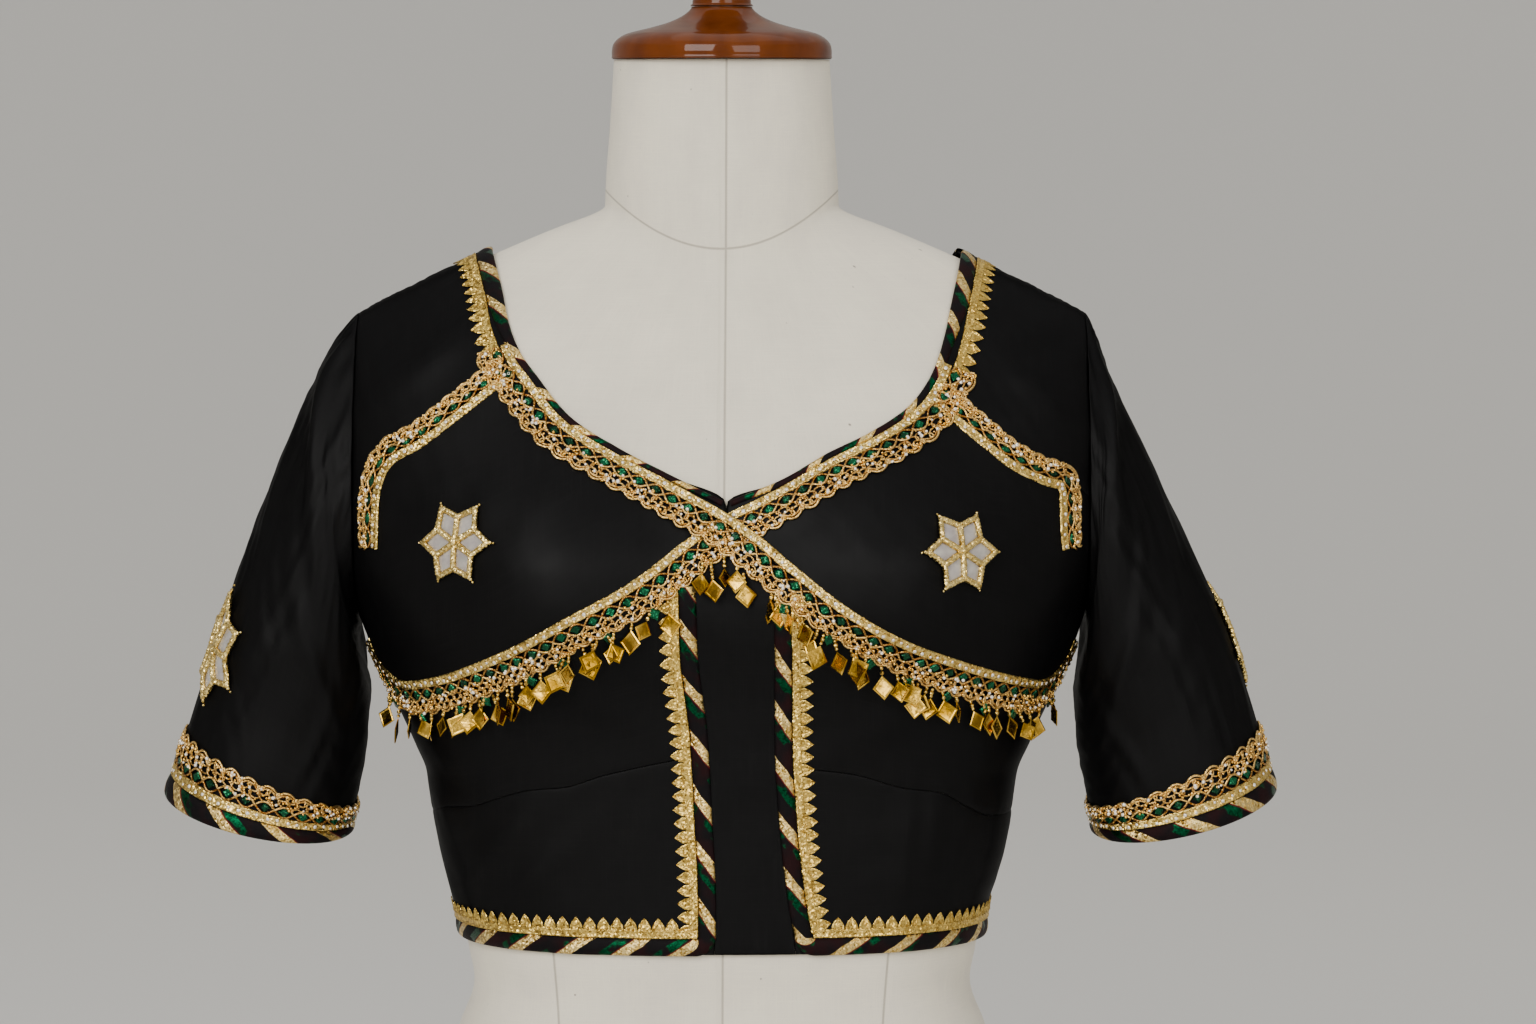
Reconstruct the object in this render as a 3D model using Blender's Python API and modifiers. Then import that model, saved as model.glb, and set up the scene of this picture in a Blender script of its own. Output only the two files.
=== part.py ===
"""A choli blouse on a limbless dress form, as solids, in metres with +Z up.

The blouse is cut and sewn from panels that lie on one body surface. Every panel, braid and lace is
a sheet worked out on that surface and given its thickness, and the form is the same surface moved in.
The front faces -Y. Left and right are as seen from the front, so left is -X.
Tables are in millimetres, and every point is turned into metres when its mesh is made.
"""
import math

import bmesh
import bpy
import numpy as np

MM = 0.001
PART = "choli_blouse_on_dress_form"

# Driving sizes of the cloth and its trims, in millimetres
CLOTH = 1.2
SEAM = 0.6
SHOULDER_GAP = 0.6
PLACKET_TOP = 467.0
LIFT = 0.8
LACE_LIFT = 1.0
ARM_PLANE = 189.0
UNDERARM = 426.0
HEM = 258.0
CENTRE = 3.0
BINDING = 8.0
BRAID = 4.6
TOOTH = 6.0
TOOTH_PITCH = 7.0
LACE, CUP_LACE = 19.0, 15.0
SCALLOP_PITCH = 9.7
SCALLOP = 2.2
FORM_CLEAR = 3.4

# Body surface: height, half width, depth in front of and behind the middle plane
BODY = [
    (0, 168, 104, 121), (40, 172, 108, 127), (90, 171, 108, 126), (140, 163, 104, 115),
    (180, 152, 99, 101), (212, 140, 95, 88), (233, 133, 93, 84), (250, 136, 95, 85),
    (270, 139, 96, 86), (290, 145, 97, 87), (307, 149, 98, 89), (327, 152, 99, 91),
    (342, 154, 100, 93), (356, 160, 101, 95), (385, 173, 103, 98), (411, 184, 106, 101),
    (432, 192, 108, 103), (453, 200, 108, 105), (480, 206, 103, 105), (512, 208, 92, 102),
    (545, 207, 78, 94), (579, 205, 64, 82), (613, 200, 48, 68), (650, 190, 40, 60),
]
# Top of the shoulders: distance from the middle, height
SHOULDER = [(0, 648), (60, 637), (123, 613), (193, 579), (225, 560)]
ROUND_OVER = 75.0
QUARTER = ROUND_OVER * math.pi / 2
SQUARENESS = 0.27
BUST = dict(x=88.0, z=440.0, height=26.0, across=58.0, above=72.0, below=46.0)

# Seams and edges of the front, as x, z
NECK_LEFT = [(-120, 614.5), (-113, 593), (-109, 577), (-103, 563)]
NECK_RIGHT = [(125, 611.8), (119, 588), (114, 568), (108, 552)]
V_LEFT = [(-103, 563), (-94, 551), (-77, 531), (-53, 516), (-26, 502), (CENTRE, 488)]
V_RIGHT = [(108, 552), (97, 537), (76, 523), (55, 513), (30, 499), (CENTRE, 488)]
CUP_TOP_LEFT = [(-103, 563), (-125, 543), (-150, 524), (-172, 510), (-182, 497), (-ARM_PLANE, 485)]
CUP_TOP_RIGHT = [(108, 552), (118, 537), (138, 520), (158, 504), (176, 500), (ARM_PLANE, 488)]
UNDER_BUST_LEFT = [(CENTRE, 468), (-16, 461), (-48, 441), (-78, 425), (-102, 411), (-126, 399), (-145, 391), (-163, 387)]
UNDER_BUST_RIGHT = [(CENTRE, 468), (22, 461), (40, 449), (62, 432), (94, 413), (130, 398), (150, 391), (166, 387)]
LACE_OVER_CUP_LEFT = [(-119, 548), (-138, 533), (-155, 520), (-169, 512), (-176, 502), (-179, 490), (-180, 476), (-180, 463)]
LACE_OVER_CUP_RIGHT = [(125, 530), (137, 520.5), (150, 510), (166, 502), (175, 499), (178, 490), (178, 478), (179, 463)]
UNDER_BUST_SIDE = 418.0
UNDER_BUST_TURN = 398.0
PLACKET_LEFT = [(-13, 461.2), (-12, 413), (-7, 369), (-5, 330), (-3, 284), (-3, HEM)]
PLACKET_RIGHT = [(27, 457.2), (28, 413), (28, 369), (30, 330), (35, 284), (38, HEM)]
WAIST_SEAM_LEFT = [(-6.3, 361), (-41, 354), (-61, 349), (-79, 343), (-97, 341), (-113, 336), (-129, 330), (-141, 328)]
WAIST_SEAM_RIGHT = [(28.5, 355), (67, 350), (94, 342), (112, 339), (125, 331), (138, 324)]
WAIST_SEAM_SIDE = 322.0
BACK_NECK = [(CENTRE, 535), (40, 539), (75, 552), (100, 575), (115, 598), (122.5, 613.2)]

# Folds of the body cloth: side, x, z, lean in degrees, half length, half width, height
FOLDS = [
    (-1, -118, 303, 55, 34, 8, 2.4), (-1, -96, 296, 48, 30, 7, 1.6), (-1, -60, 386, -32, 36, 9, 1.4),
    (-1, 94, 312, 86, 26, 6, 1.8), (-1, 108, 318, 82, 24, 6, 2.0), (-1, 122, 306, 78, 26, 6, 1.6),
    (-1, 76, 372, 25, 34, 9, 1.4), (-1, -152, 556, 38, 30, 9, 2.4), (-1, 158, 548, -42, 32, 9, 2.4),
    (1, -60, 380, 20, 40, 9, 1.8), (1, 64, 352, -24, 40, 9, 1.8), (1, -104, 440, 58, 36, 9, 2.0),
    (1, 108, 452, -60, 36, 9, 2.0), (1, -90, 300, 40, 34, 8, 1.8), (1, 84, 296, -44, 32, 8, 1.8),
]

# Sleeve rings: inner x and z, half depth, how far it sits behind the middle plane. The outer x and z
# of each ring differ a little between the two sides, because the blouse hangs to the left
SLEEVE = [
    (190.0, 426, 60, 6), (190, 412, 60, 6), (187, 396, 58, 6), (184, 380, 54, 5), (185, 362, 50, 4),
    (187.5, 344, 46, 4), (191, 328, 43, 3), (194, 311, 41, 3),
]
SLEEVE_OUTER = {
    -1: [(190.0, 581), (206, 559), (215, 539), (233.5, 496), (250, 454), (264.5, 408), (277, 370), (291, 331)],
    1: [(190.0, 581), (198, 560), (205, 541), (227, 496), (246.5, 455), (265, 411), (278, 372), (289.5, 333)],
}
SLEEVE_HEM_DIP = 10.0
SLEEVE_LENGTH, SLEEVE_GIRTH = 225.0, 285.0
# Folds of a sleeve: place down it, angle round it from the top towards the front, lean, half length,
# half width, height
SLEEVE_FOLDS = [
    (0.12, 35, 70, 34, 8, 2.6), (0.30, 62, 48, 40, 9, 2.8), (0.45, 30, 60, 38, 9, 2.0), (0.55, 100, 40, 34, 8, 2.2),
    (0.66, 55, -38, 30, 8, 1.8), (0.20, -40, -70, 34, 9, 2.4), (0.40, -80, -46, 40, 9, 2.6), (0.62, -50, -50, 32, 8, 2.0),
]

# Appliqued stars: where each middle is, and how far the star is turned
STAR_REACH, STAR_NOTCH = 20.5, 11.5
STAR_RINGS = (0.25, 1.0)
CUP_STARS = {"star_cup_left": (-133, 468, 14), "star_cup_right": (121, 464, 10)}
SLEEVE_STARS = {"star_sleeve_left": (-1, 0.71, 24, 8), "star_sleeve_right": (1, 0.71, -14, -8)}

# Trims of the placket: where they begin under the lace, and the bend at its foot
PLACKET_TRIM_TOP = 421.0
CORNER = 10.0

# Fringe of folded plates under the bust
PLATE_PITCH = 9.6
PLATE_WIDE, PLATE_TALL, PLATE_THICK = 8.0, 11.0, 1.0
LINK, LINK_LONG = 1.5, 4.5
TAPE = 2.4

# Neck of the form: height, half width, half depth. Cap and knob: radius, height, from the top down
NECK = [(590, 57, 49), (625, 61, 52), (645, 60.5, 52), (680, 58, 51), (712, 56, 50)]
NECK_BACK = 7.0
FORM_LEVELS = (545, 520, 497, 476, 458, 441, 424, 408, 393, 377, 358, 332, 300, 266, 233, 200, 155, 105, 50, 0)
FORM_COLUMNS = 17
TURNED_SIDES = 20
CAP = [(17.5, 739.6), (19, 735.5), (28, 731.5), (46, 726.5), (53, 724), (57, 720.5), (57.2, 717.5), (54, 713.5), (52, 712.3)]
CAP_SEAT, CAP_TOP = 712.3, 739.6
KNOB = [(9, 788), (16, 783), (20.5, 771), (17.5, 760), (13.5, 752), (16, 743), (16, 739.9)]
KNOB_TOP = 789.5

FRONT, BACK = -1, 1


def smooth(rows, column, at):
    """The column's value at each place, by a cubic through the rows that never overshoots them."""
    xs, ys = np.array([row[0] for row in rows], float), np.array([row[column] for row in rows], float)
    step, slope = np.diff(xs), np.diff(ys) / np.diff(xs)
    bend = np.concatenate([slope[:1], np.zeros(len(xs) - 2), slope[-1:]])
    for k in range(1, len(xs) - 1):
        if slope[k - 1] * slope[k] > 0:
            one, two = 2 * step[k] + step[k - 1], step[k] + 2 * step[k - 1]
            bend[k] = (one + two) / (one / slope[k - 1] + two / slope[k])
    at = np.clip(np.asarray(at, float), xs[0], xs[-1])
    k = np.clip(np.searchsorted(xs, at, side="right") - 1, 0, len(step) - 1)
    t = (at - xs[k]) / step[k]
    start = (2 * t**3 - 3 * t**2 + 1) * ys[k] + (t**3 - 2 * t**2 + t) * step[k] * bend[k]
    return start + (3 * t**2 - 2 * t**3) * ys[k + 1] + (t**3 - t**2) * step[k] * bend[k + 1]


def half_width(z):
    return smooth(BODY, 1, z)


def shoulder(x):
    return smooth(SHOULDER, 1, np.abs(x))


def bust(x, z):
    """How far the front stands out for the bust: two rounded mounds, steeper below than above."""
    fall = np.where(z > BUST["z"], BUST["above"], BUST["below"])
    sides = [np.exp(-(((x + way * BUST["x"]) / BUST["across"]) ** 2)) for way in (-1, 1)]
    return BUST["height"] * np.exp(-(((z - BUST["z"]) / fall) ** 2)) * sum(sides)


def reach(x, z, side):
    """Depth that the surface would have at x, z if it were neither rounded across nor at the top."""
    return np.where(side == FRONT, smooth(BODY, 2, z) + bust(x, z), smooth(BODY, 3, z))


def roundness(x, z):
    """Square of the share of its reach that the surface keeps, from the middle out to its edges."""
    part = (x / half_width(z)) ** 2
    below = np.minimum((shoulder(x) - z) / ROUND_OVER, 1)
    return (1 - part) * (1 + SQUARENESS * part) ** 2 * (1 - (1 - below) ** 2)


def on_body(x, z, side):
    """The point of the surface at x, z."""
    x, z = np.asarray(x, float), np.asarray(z, float)
    y = side * reach(x, z, side) * np.sqrt(np.maximum(roundness(x, z), 0))
    return np.stack([x, y, z], -1)


def outside(p):
    """Below zero inside the body, zero on its surface, above zero outside."""
    x, y, z = np.moveaxis(p, -1, 0)
    return (y / reach(x, z, np.where(y < 0, FRONT, BACK))) ** 2 - roundness(x, z)


def slope_of(p):
    """The direction in which outside() grows, and how fast."""
    step = 0.01 * np.eye(3)
    return np.stack([(outside(p + d) - outside(p - d)) / 0.02 for d in step], -1)


def outward(p):
    slope = slope_of(p)
    return slope / np.linalg.norm(slope, axis=-1, keepdims=True)


def onto_body(p):
    """The points moved on to the surface, straight in or out, by a few of Newton's steps."""
    for _ in range(8):
        slope = slope_of(p)
        p = p - slope * (outside(p) / np.sum(slope**2, axis=-1))[..., None]
    return p


def ridge(along, across, half_length, half_width_, height):
    return height * np.exp(-((along / half_length) ** 2) - (across / half_width_) ** 2)


def fold_height(p):
    """How far the folds lift the cloth at these points."""
    total = np.zeros(p.shape[:-1])
    for side, x, z, lean, half_length, narrow, height in FOLDS:
        cos, sin = math.cos(math.radians(lean)), math.sin(math.radians(lean))
        dx, dz = p[..., 0] - x, p[..., 2] - z
        here = ridge(dx * cos + dz * sin, dz * cos - dx * sin, half_length, narrow, height)
        total += np.where(side * p[..., 1] > 0, here, 0)
    return total


def laid(p, out):
    """The points of the surface moved out by this much, over the cloth's folds."""
    return p + outward(p) * (np.asarray(out) + fold_height(p))[..., None]


def chart(x, z):
    """Where x, z lies on a flat chart: the angle round the body, and the way down over the cloth
    from the shoulder line, which follows a quarter circle at the top."""
    drop = shoulder(x) - z
    arc = ROUND_OVER * np.arccos(1 - np.clip(drop / ROUND_OVER, 0, 1))
    return np.stack([np.arcsin(np.clip(x / half_width(z), -1, 1)), arc + np.maximum(drop - ROUND_OVER, 0)], -1)


def dropped(down):
    """How far below the shoulder line a place this far down over the cloth is."""
    return ROUND_OVER * (1 - np.cos(np.minimum(down, QUARTER) / ROUND_OVER)) + np.maximum(down - QUARTER, 0)


def from_chart(places, side):
    """The surface points of these places on the chart."""
    angle, down = np.moveaxis(places, -1, 0)
    x = 150 * np.sin(angle)
    for _ in range(40):
        z = shoulder(x) - dropped(down)
        x = half_width(z) * np.sin(angle)
    return on_body(x, z, side)


def curve(points, count=None, side=FRONT, pitch=None):
    """x, z places on a smooth line through the points, spaced evenly over the cloth."""
    points = np.array(points, float)
    steps = np.concatenate([[0], np.cumsum(np.linalg.norm(np.diff(points, axis=0), axis=1))])
    rows = np.column_stack([steps, points])
    fine = np.linspace(0, steps[-1], 400)
    place = np.stack([smooth(rows, 1, fine), smooth(rows, 2, fine)], -1)
    gone = np.linalg.norm(np.diff(on_body(place[:, 0], place[:, 1], side), axis=0), axis=1)
    gone = np.concatenate([[0], np.cumsum(gone)])
    count = count or max(2, round(gone[-1] / pitch) + 1)
    at = np.interp(np.linspace(0, gone[-1], count), gone, fine)
    return np.stack([smooth(rows, 1, at), smooth(rows, 2, at)], -1)


def side_line(way, low, high, count=40):
    """Places up the side of the body: the side seam up to the underarm, and the armhole above it."""
    z = np.linspace(low, high, count)
    return list(zip(way * np.minimum(half_width(z), ARM_PLANE), z))


def under_bust(way):
    """The seam under a cup, from the middle to the side, where it turns up to the underarm."""
    turn = [(way * 0.983 * half_width(UNDER_BUST_TURN), UNDER_BUST_TURN), (way * half_width(UNDER_BUST_SIDE), UNDER_BUST_SIDE)]
    return (UNDER_BUST_LEFT if way < 0 else UNDER_BUST_RIGHT) + turn


def waist_seam(way):
    side = [(way * half_width(WAIST_SEAM_SIDE), WAIST_SEAM_SIDE)]
    return (WAIST_SEAM_LEFT if way < 0 else WAIST_SEAM_RIGHT) + side


def material(name, colour, roughness, metallic=0.0):
    made = bpy.data.materials.new(name)
    made.use_nodes = True
    shader = made.node_tree.nodes["Principled BSDF"]
    shader.inputs["Base Color"].default_value = (*colour, 1)
    shader.inputs["Roughness"].default_value = roughness
    shader.inputs["Metallic"].default_value = metallic
    made.diffuse_color = (*colour, 1)
    return made


def sheet(name, grid, thick, look, faces_out, ring=False):
    """A grid of points, in millimetres, as an open sheet whose thickness grows inwards.

    faces_out holds a direction for each point, and the sheet is turned so that it faces that way."""
    rows, columns = grid.shape[:2]
    index = np.arange(rows * columns).reshape(rows, columns)
    if ring:
        index = np.hstack([index, index[:, :1]])
    corners = [index[:-1, :-1], index[:-1, 1:], index[1:, 1:], index[1:, :-1]]
    across = grid[rows // 2, 1:] - grid[rows // 2, :-1]
    up = (grid[rows // 2] - grid[rows // 2 - 1])[:-1]
    if np.sum(np.cross(across, up) * faces_out[rows // 2, :-1]) < 0:
        corners = corners[::-1]
    return walled(name, grid.reshape(-1, 3), np.stack(corners, -1).reshape(-1, 4), thick, look)


def faced(name, points, faces, thick, look, out):
    """An open sheet of faces round one direction, turned so that they face it."""
    a, b, c = (points[faces[len(faces) // 2, k]] for k in (0, 1, 2))
    if np.dot(np.cross(b - a, c - b), out) < 0:
        faces = faces[:, ::-1]
    return walled(name, points, faces, thick, look)


def walled(name, points, faces, thick, look):
    """The mesh of a sheet, whose Solidify modifier grows its thickness inwards."""
    mesh = bpy.data.meshes.new(name)
    mesh.from_pydata((points * MM).tolist(), [], faces.tolist())
    mesh.materials.append(look)
    mesh.shade_smooth()
    made = keep(bpy.data.objects.new(name, mesh))
    wall = made.modifiers.new("thickness", "SOLIDIFY")
    wall.thickness = thick * MM
    wall.offset = -1
    return made


def drawn_in(grid, top):
    """The grid with its outer lines drawn in by half a seam's gap, and its top line by its own."""
    grid = grid.copy()
    for axis, edge, inner, gap in ((0, 0, 1, SEAM / 2), (0, -1, -2, top), (1, 0, 1, SEAM / 2), (1, -1, -2, SEAM / 2)):
        lines = np.moveaxis(grid, axis, 0)
        towards = lines[inner] - lines[edge]
        lines[edge] += towards / np.linalg.norm(towards, axis=-1, keepdims=True) * gap
    return grid


def panel(name, bottom, top, left, right, side, look, top_gap=SEAM / 2):
    """A cloth panel between four seams, each a row of x, z places, filled by blending the seams.

    bottom and top run from the left seam to the right one, and left and right run upwards."""
    low, high = chart(*bottom.T)[None], chart(*top.T)[None]
    first, last = chart(*left.T)[:, None], chart(*right.T)[:, None]
    u, v = np.linspace(0, 1, len(bottom))[None, :, None], np.linspace(0, 1, len(left))[:, None, None]
    ends = (1 - u) * ((1 - v) * low[:, :1] + v * high[:, :1]) + u * ((1 - v) * low[:, -1:] + v * high[:, -1:])
    grid = from_chart((1 - v) * low + v * high + (1 - u) * first + u * last - ends, side)
    grid = laid(onto_body(drawn_in(grid, top_gap)), 0)
    return sheet(name, grid, CLOTH, look, outward(grid))


def beside(path, turn):
    """For each point of a path on the surface, the direction across it: to its left as seen from
    outside, or to its right with turn -1."""
    across = turn * np.cross(outward(path), np.gradient(path, axis=0))
    return across / np.linalg.norm(across, axis=1, keepdims=True)


def strip(name, path, across, thick, look, turn=1, lift=LIFT):
    """A band laid along a path of surface points. across holds, for each point of the path, how far
    the band's lines lie beside it."""
    grid = onto_body(path[:, None] + beside(path, turn)[:, None] * np.asarray(across)[..., None])
    out = np.broadcast_to(np.asarray(lift, float) + thick, (len(path),))[:, None] + np.zeros(grid.shape[:2])
    return sheet(name, laid(grid, out), thick, look, outward(grid))


def edged(name, path, inner, root, tip, thick, look, turn=1, lift=LIFT, bare=0):
    """A band with one straight edge, and one edge that goes out to a point and back in each step of
    the path: the teeth of a braid or the scallops of a lace. The first few steps may be bare."""
    n = len(path)
    between = onto_body((path[1:] + path[:-1]) / 2)
    out = np.broadcast_to(np.asarray(lift, float) + thick, (n,))
    side = beside(path, turn)
    points = [path + side * inner[:, None], path + side * root[:, None]]
    reach_out = np.where(np.arange(n - 1) < bare, (root[1:] + root[:-1]) / 2, (tip[1:] + tip[:-1]) / 2)
    points.append(between + beside(between, turn) * reach_out[:, None])
    rows = [laid(onto_body(row), out[: len(row)]) for row in points]
    k = np.arange(n - 1)
    faces = np.stack([k, k + 1, n + k + 1, 2 * n + k, n + k], -1)
    return faced(name, np.vstack(rows), faces, thick, look, outward(path[n // 2]))


def front_path(points, pitch, side=FRONT):
    """Points on the surface, evenly spaced along a line through x, z places."""
    return on_body(*curve(points, None, side, pitch).T, side)


def start():
    """An empty scene with one collection for the part and one for what only shapes it."""
    for old in list(bpy.data.objects):
        bpy.data.objects.remove(old)
    for name in (PART, "helpers"):
        bpy.context.scene.collection.children.link(bpy.data.collections.new(name))
    bpy.data.collections["helpers"].hide_render = True


def keep(made):
    bpy.data.collections[PART].objects.link(made)
    return made


def body_panels(look):
    """The cloth panels. Each seam is sampled once, so that the panels on both sides share its points."""
    top_z = float(shoulder(ARM_PLANE))
    plackets = {}
    for way, word in ((-1, "left"), (1, "right")):
        neck, vee = (NECK_LEFT, V_LEFT) if way < 0 else (NECK_RIGHT, V_RIGHT)
        cup_top, placket = (CUP_TOP_LEFT, PLACKET_LEFT) if way < 0 else (CUP_TOP_RIGHT, PLACKET_RIGHT)
        tip, arm_end = (way * ARM_PLANE, top_z), cup_top[-1]
        over_cup, under_cup = curve(cup_top, 13), curve(under_bust(way), 13)
        panel(
            f"yoke_{word}", over_cup, shoulder_seam(neck[0], tip, 13), curve(neck[::-1], 6), curve([arm_end, tip], 6),
            FRONT, look, SHOULDER_GAP)
        panel(
            f"cup_{word}", under_cup, over_cup, curve([(CENTRE, 468)] + vee[::-1], 10),
            curve(side_line(way, UNDER_BUST_SIDE, arm_end[1]), 10), FRONT, look)
        top = np.vstack([[placket[0]], under_cup[2:]])
        seam = curve(waist_seam(way), len(top))
        upper = curve([tuple(seam[0])] + [p for p in placket if p[1] > seam[0, 1] + 1][::-1], 8)
        lower = curve([p for p in placket if p[1] < seam[0, 1] - 1][::-1] + [tuple(seam[0])], 6)
        panel(
            f"midriff_upper_{word}", seam, top, upper, curve(side_line(way, WAIST_SEAM_SIDE, UNDER_BUST_SIDE), 8),
            FRONT, look)
        panel(
            f"midriff_lower_{word}", hem_line(way, placket[-1][0], len(top), FRONT), seam, lower,
            curve(side_line(way, HEM, WAIST_SEAM_SIDE), 6), FRONT, look)
        plackets[way] = np.vstack([lower, upper[1:]])
        scoop = [(CENTRE, BACK_NECK[0][1])] + [(way * x, z) for x, z in BACK_NECK[1:]]
        inner = np.vstack([curve([(CENTRE, HEM), (CENTRE, 400), scoop[0]], 10, BACK), curve(scoop, 8, BACK)[1:]])
        sides = np.vstack([curve(side_line(way, HEM, UNDERARM), 9, BACK), curve([(way * ARM_PLANE, UNDERARM), tip], 9, BACK)[1:]])
        panel(
            f"back_{word}", hem_line(way, CENTRE, 12, BACK), shoulder_seam(scoop[-1], tip, 12), inner, sides, BACK, look,
            SHOULDER_GAP)
    hem = curve([PLACKET_LEFT[-1], (CENTRE, HEM), PLACKET_RIGHT[-1]], 4)
    point = curve([PLACKET_LEFT[0], (CENTRE, PLACKET_TOP), PLACKET_RIGHT[0]], 4)
    panel("placket_panel", hem, point, plackets[-1], plackets[1], FRONT, look)


def shoulder_seam(neck, tip, count):
    """Places along the shoulder line from the neck to the armhole."""
    x = np.linspace(neck[0], tip[0], count)
    return np.stack([x, shoulder(x)], -1)


def hem_line(way, start, count, side):
    """Places along the hem from the given x to the side seam."""
    width = float(half_width(HEM))
    spread = np.linspace(math.asin(start / width), way * math.pi / 2, 200)
    line = np.stack([width * np.sin(spread), np.full(200, HEM)], -1)
    return curve(line, count, side)


def armhole(angle, way):
    """The loop where the body surface meets the plane of the armhole, by angle from its top."""
    top = float(shoulder(ARM_PLANE))
    z = (top + UNDERARM) / 2 + (top - UNDERARM) / 2 * np.cos(angle)
    side = np.where(np.sin(angle) >= 0, FRONT, BACK)
    return on_body(np.full(z.shape, ARM_PLANE), z, side)[..., 1]


def sleeve_point(way, down, angle):
    """A point of a sleeve: down runs from 0 at the armhole to 1 at the hem, and angle goes round it
    from the top towards the front. Each ring joins an outer and an inner point of the table, and its
    shape passes from the armhole's into an ellipse."""
    both = zip(SLEEVE_OUTER[way], SLEEVE)
    rows = [(k / (len(SLEEVE) - 1), *outer, *inner) for k, (outer, inner) in enumerate(both)]
    ox, oz, ix, iz, half_depth, behind = (smooth(rows, k, down) for k in range(1, 7))
    round_share = np.clip(down / 0.3, 0, 1) ** 0.8
    y = (1 - round_share) * armhole(angle, way) + round_share * (behind - half_depth * np.sin(angle))
    middle, spread = (1 + np.cos(angle)) / 2, np.clip((down - 0.5) / 0.5, 0, 1)
    x, z = ix + (ox - ix) * middle, iz + (oz - iz) * middle
    z = z - SLEEVE_HEM_DIP * spread**2 * np.sin(angle)
    return np.stack([way * x, y, z], -1)


def sleeve_out(way, down, angle):
    """The direction straight out of a sleeve."""
    step = 1e-3
    grow = [sleeve_point(way, down + a, angle + b) - sleeve_point(way, down - a, angle - b) for a, b in ((step, 0), (0, step))]
    out = -way * np.cross(grow[0], grow[1])
    return out / np.linalg.norm(out, axis=-1, keepdims=True)


def sleeve_laid(way, down, angle, out):
    """A point on the cloth of a sleeve, moved out, with the folds."""
    lift = np.zeros(np.broadcast(down, angle).shape)
    for at, turn, lean, half_length, narrow, height in SLEEVE_FOLDS:
        cos, sin = math.cos(math.radians(lean)), math.sin(math.radians(lean))
        off = (angle - math.radians(turn) + math.pi) % (2 * math.pi) - math.pi
        dx, dy = off * SLEEVE_GIRTH / 2 / math.pi, (down - at) * SLEEVE_LENGTH
        lift = lift + ridge(dx * cos + dy * sin, dy * cos - dx * sin, half_length, narrow, height)
    lift = lift * np.clip(down / 0.08, 0, 1) * np.clip((1 - down) / 0.2, 0, 1)
    inside = np.clip(down, 2e-3, 1 - 2e-3)
    return sleeve_point(way, down, angle) + sleeve_out(way, inside, angle) * (lift + out)[..., None]


def sleeve_ring(name, way, downs, out, thick, look, around):
    """A closed sheet round a sleeve. downs holds the rows, each one number or one for each column."""
    angle = np.linspace(0, 2 * math.pi, around, endpoint=False) + 0.05
    down = np.stack([np.broadcast_to(row, (around,)) for row in downs])
    grid = sleeve_laid(way, down, np.broadcast_to(angle, down.shape), out + np.zeros(down.shape))
    facing = sleeve_out(way, np.clip(down, 2e-3, 1 - 2e-3), np.broadcast_to(angle, down.shape))
    return sheet(name, grid, thick, look, facing, ring=True)


def sleeves(cloth, lace, binding):
    """Each sleeve is a tube, with a lace and a striped binding round its hem."""
    for way, word in ((-1, "left"), (1, "right")):
        sleeve_ring(f"sleeve_{word}", way, list(np.linspace(0, 1, 11)), 0, CLOTH, cloth, 22)
        cells = 2 * round(SLEEVE_GIRTH / SCALLOP_PITCH)
        low = 1 - BINDING / SLEEVE_LENGTH
        edge = low - np.where(np.arange(cells) % 2, LACE, LACE - SCALLOP) / SLEEVE_LENGTH
        sleeve_ring(f"sleeve_lace_{word}", way, [edge, low - SEAM / SLEEVE_LENGTH], LACE_LIFT + 1.4, 1.4, lace, cells)
        sleeve_ring(f"sleeve_binding_{word}", way, [low, 1.0], LIFT + 1.2, 1.0, binding, 24)


def neck_trims(binding, braid):
    """A striped binding round the neck edge with a toothed braid beside it above the cups and behind."""
    for way, word, neck, vee in ((-1, "left", NECK_LEFT, V_LEFT), (1, "right", NECK_RIGHT, V_RIGHT)):
        path = front_path(neck + vee[1:-1] + [(CENTRE + way * 3, 489.5)], 11)
        gone = distance(path)
        wide = np.interp(gone, [0, 50, 75, gone[-1]], [BINDING, BINDING, 2.4, 2.0])
        strip(f"neck_binding_{word}", path, np.stack([np.full(len(path), 0.1), wide], -1), 1.0, binding, way)
        braided(f"neck_picot_{word}", front_path(neck, TOOTH_PITCH)[:-2], braid, way)
    scoop = [(-x, z) for x, z in BACK_NECK[:0:-1]] + [(0, BACK_NECK[0][1])] + BACK_NECK[1:]
    path = front_path(scoop, 13, BACK)
    strip("neck_binding_back", path, np.tile([0.1, BINDING], (len(path), 1)), 1.0, binding)
    braided("neck_picot_back", front_path(scoop, TOOTH_PITCH, BACK), braid, 1)


def braided(name, path, braid, turn, bare=0):
    """A braid beside a binding, with a tooth in each step of the path."""
    flat = np.ones(len(path))
    inner = BINDING + SEAM
    edged(name, path, inner * flat, (inner + BRAID) * flat, (inner + BRAID + TOOTH) * flat, 1.2, braid, turn, bare=bare)


def distance(path):
    """How far along the path each of its points is."""
    return np.concatenate([[0], np.cumsum(np.linalg.norm(np.diff(path, axis=0), axis=1))])


def crossing_path(way, pitch):
    """The upper edge of a crossing lace: down the neckline, over the middle, and under the other cup."""
    vee = V_LEFT if way < 0 else V_RIGHT
    far = [(x, z + 7.0) for x, z in under_bust(-way)[2:-2]]
    end = [(-way * 178, 403.5), (-way * 182.6, 413)]
    return front_path([(vee[0][0] - way * 3, vee[0][1] - 6)] + vee[1:-1] + [(CENTRE, 485)] + far + end, pitch)


def raised(way, path):
    """How high the lace lies: the one from the left goes over the other in the middle."""
    past = (path[:, 0] - CENTRE) * -way
    return LACE_LIFT + (2.2 * np.exp(-(((past - 6) / 25) ** 4)) if way < 0 else 0.0 * past)


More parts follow.
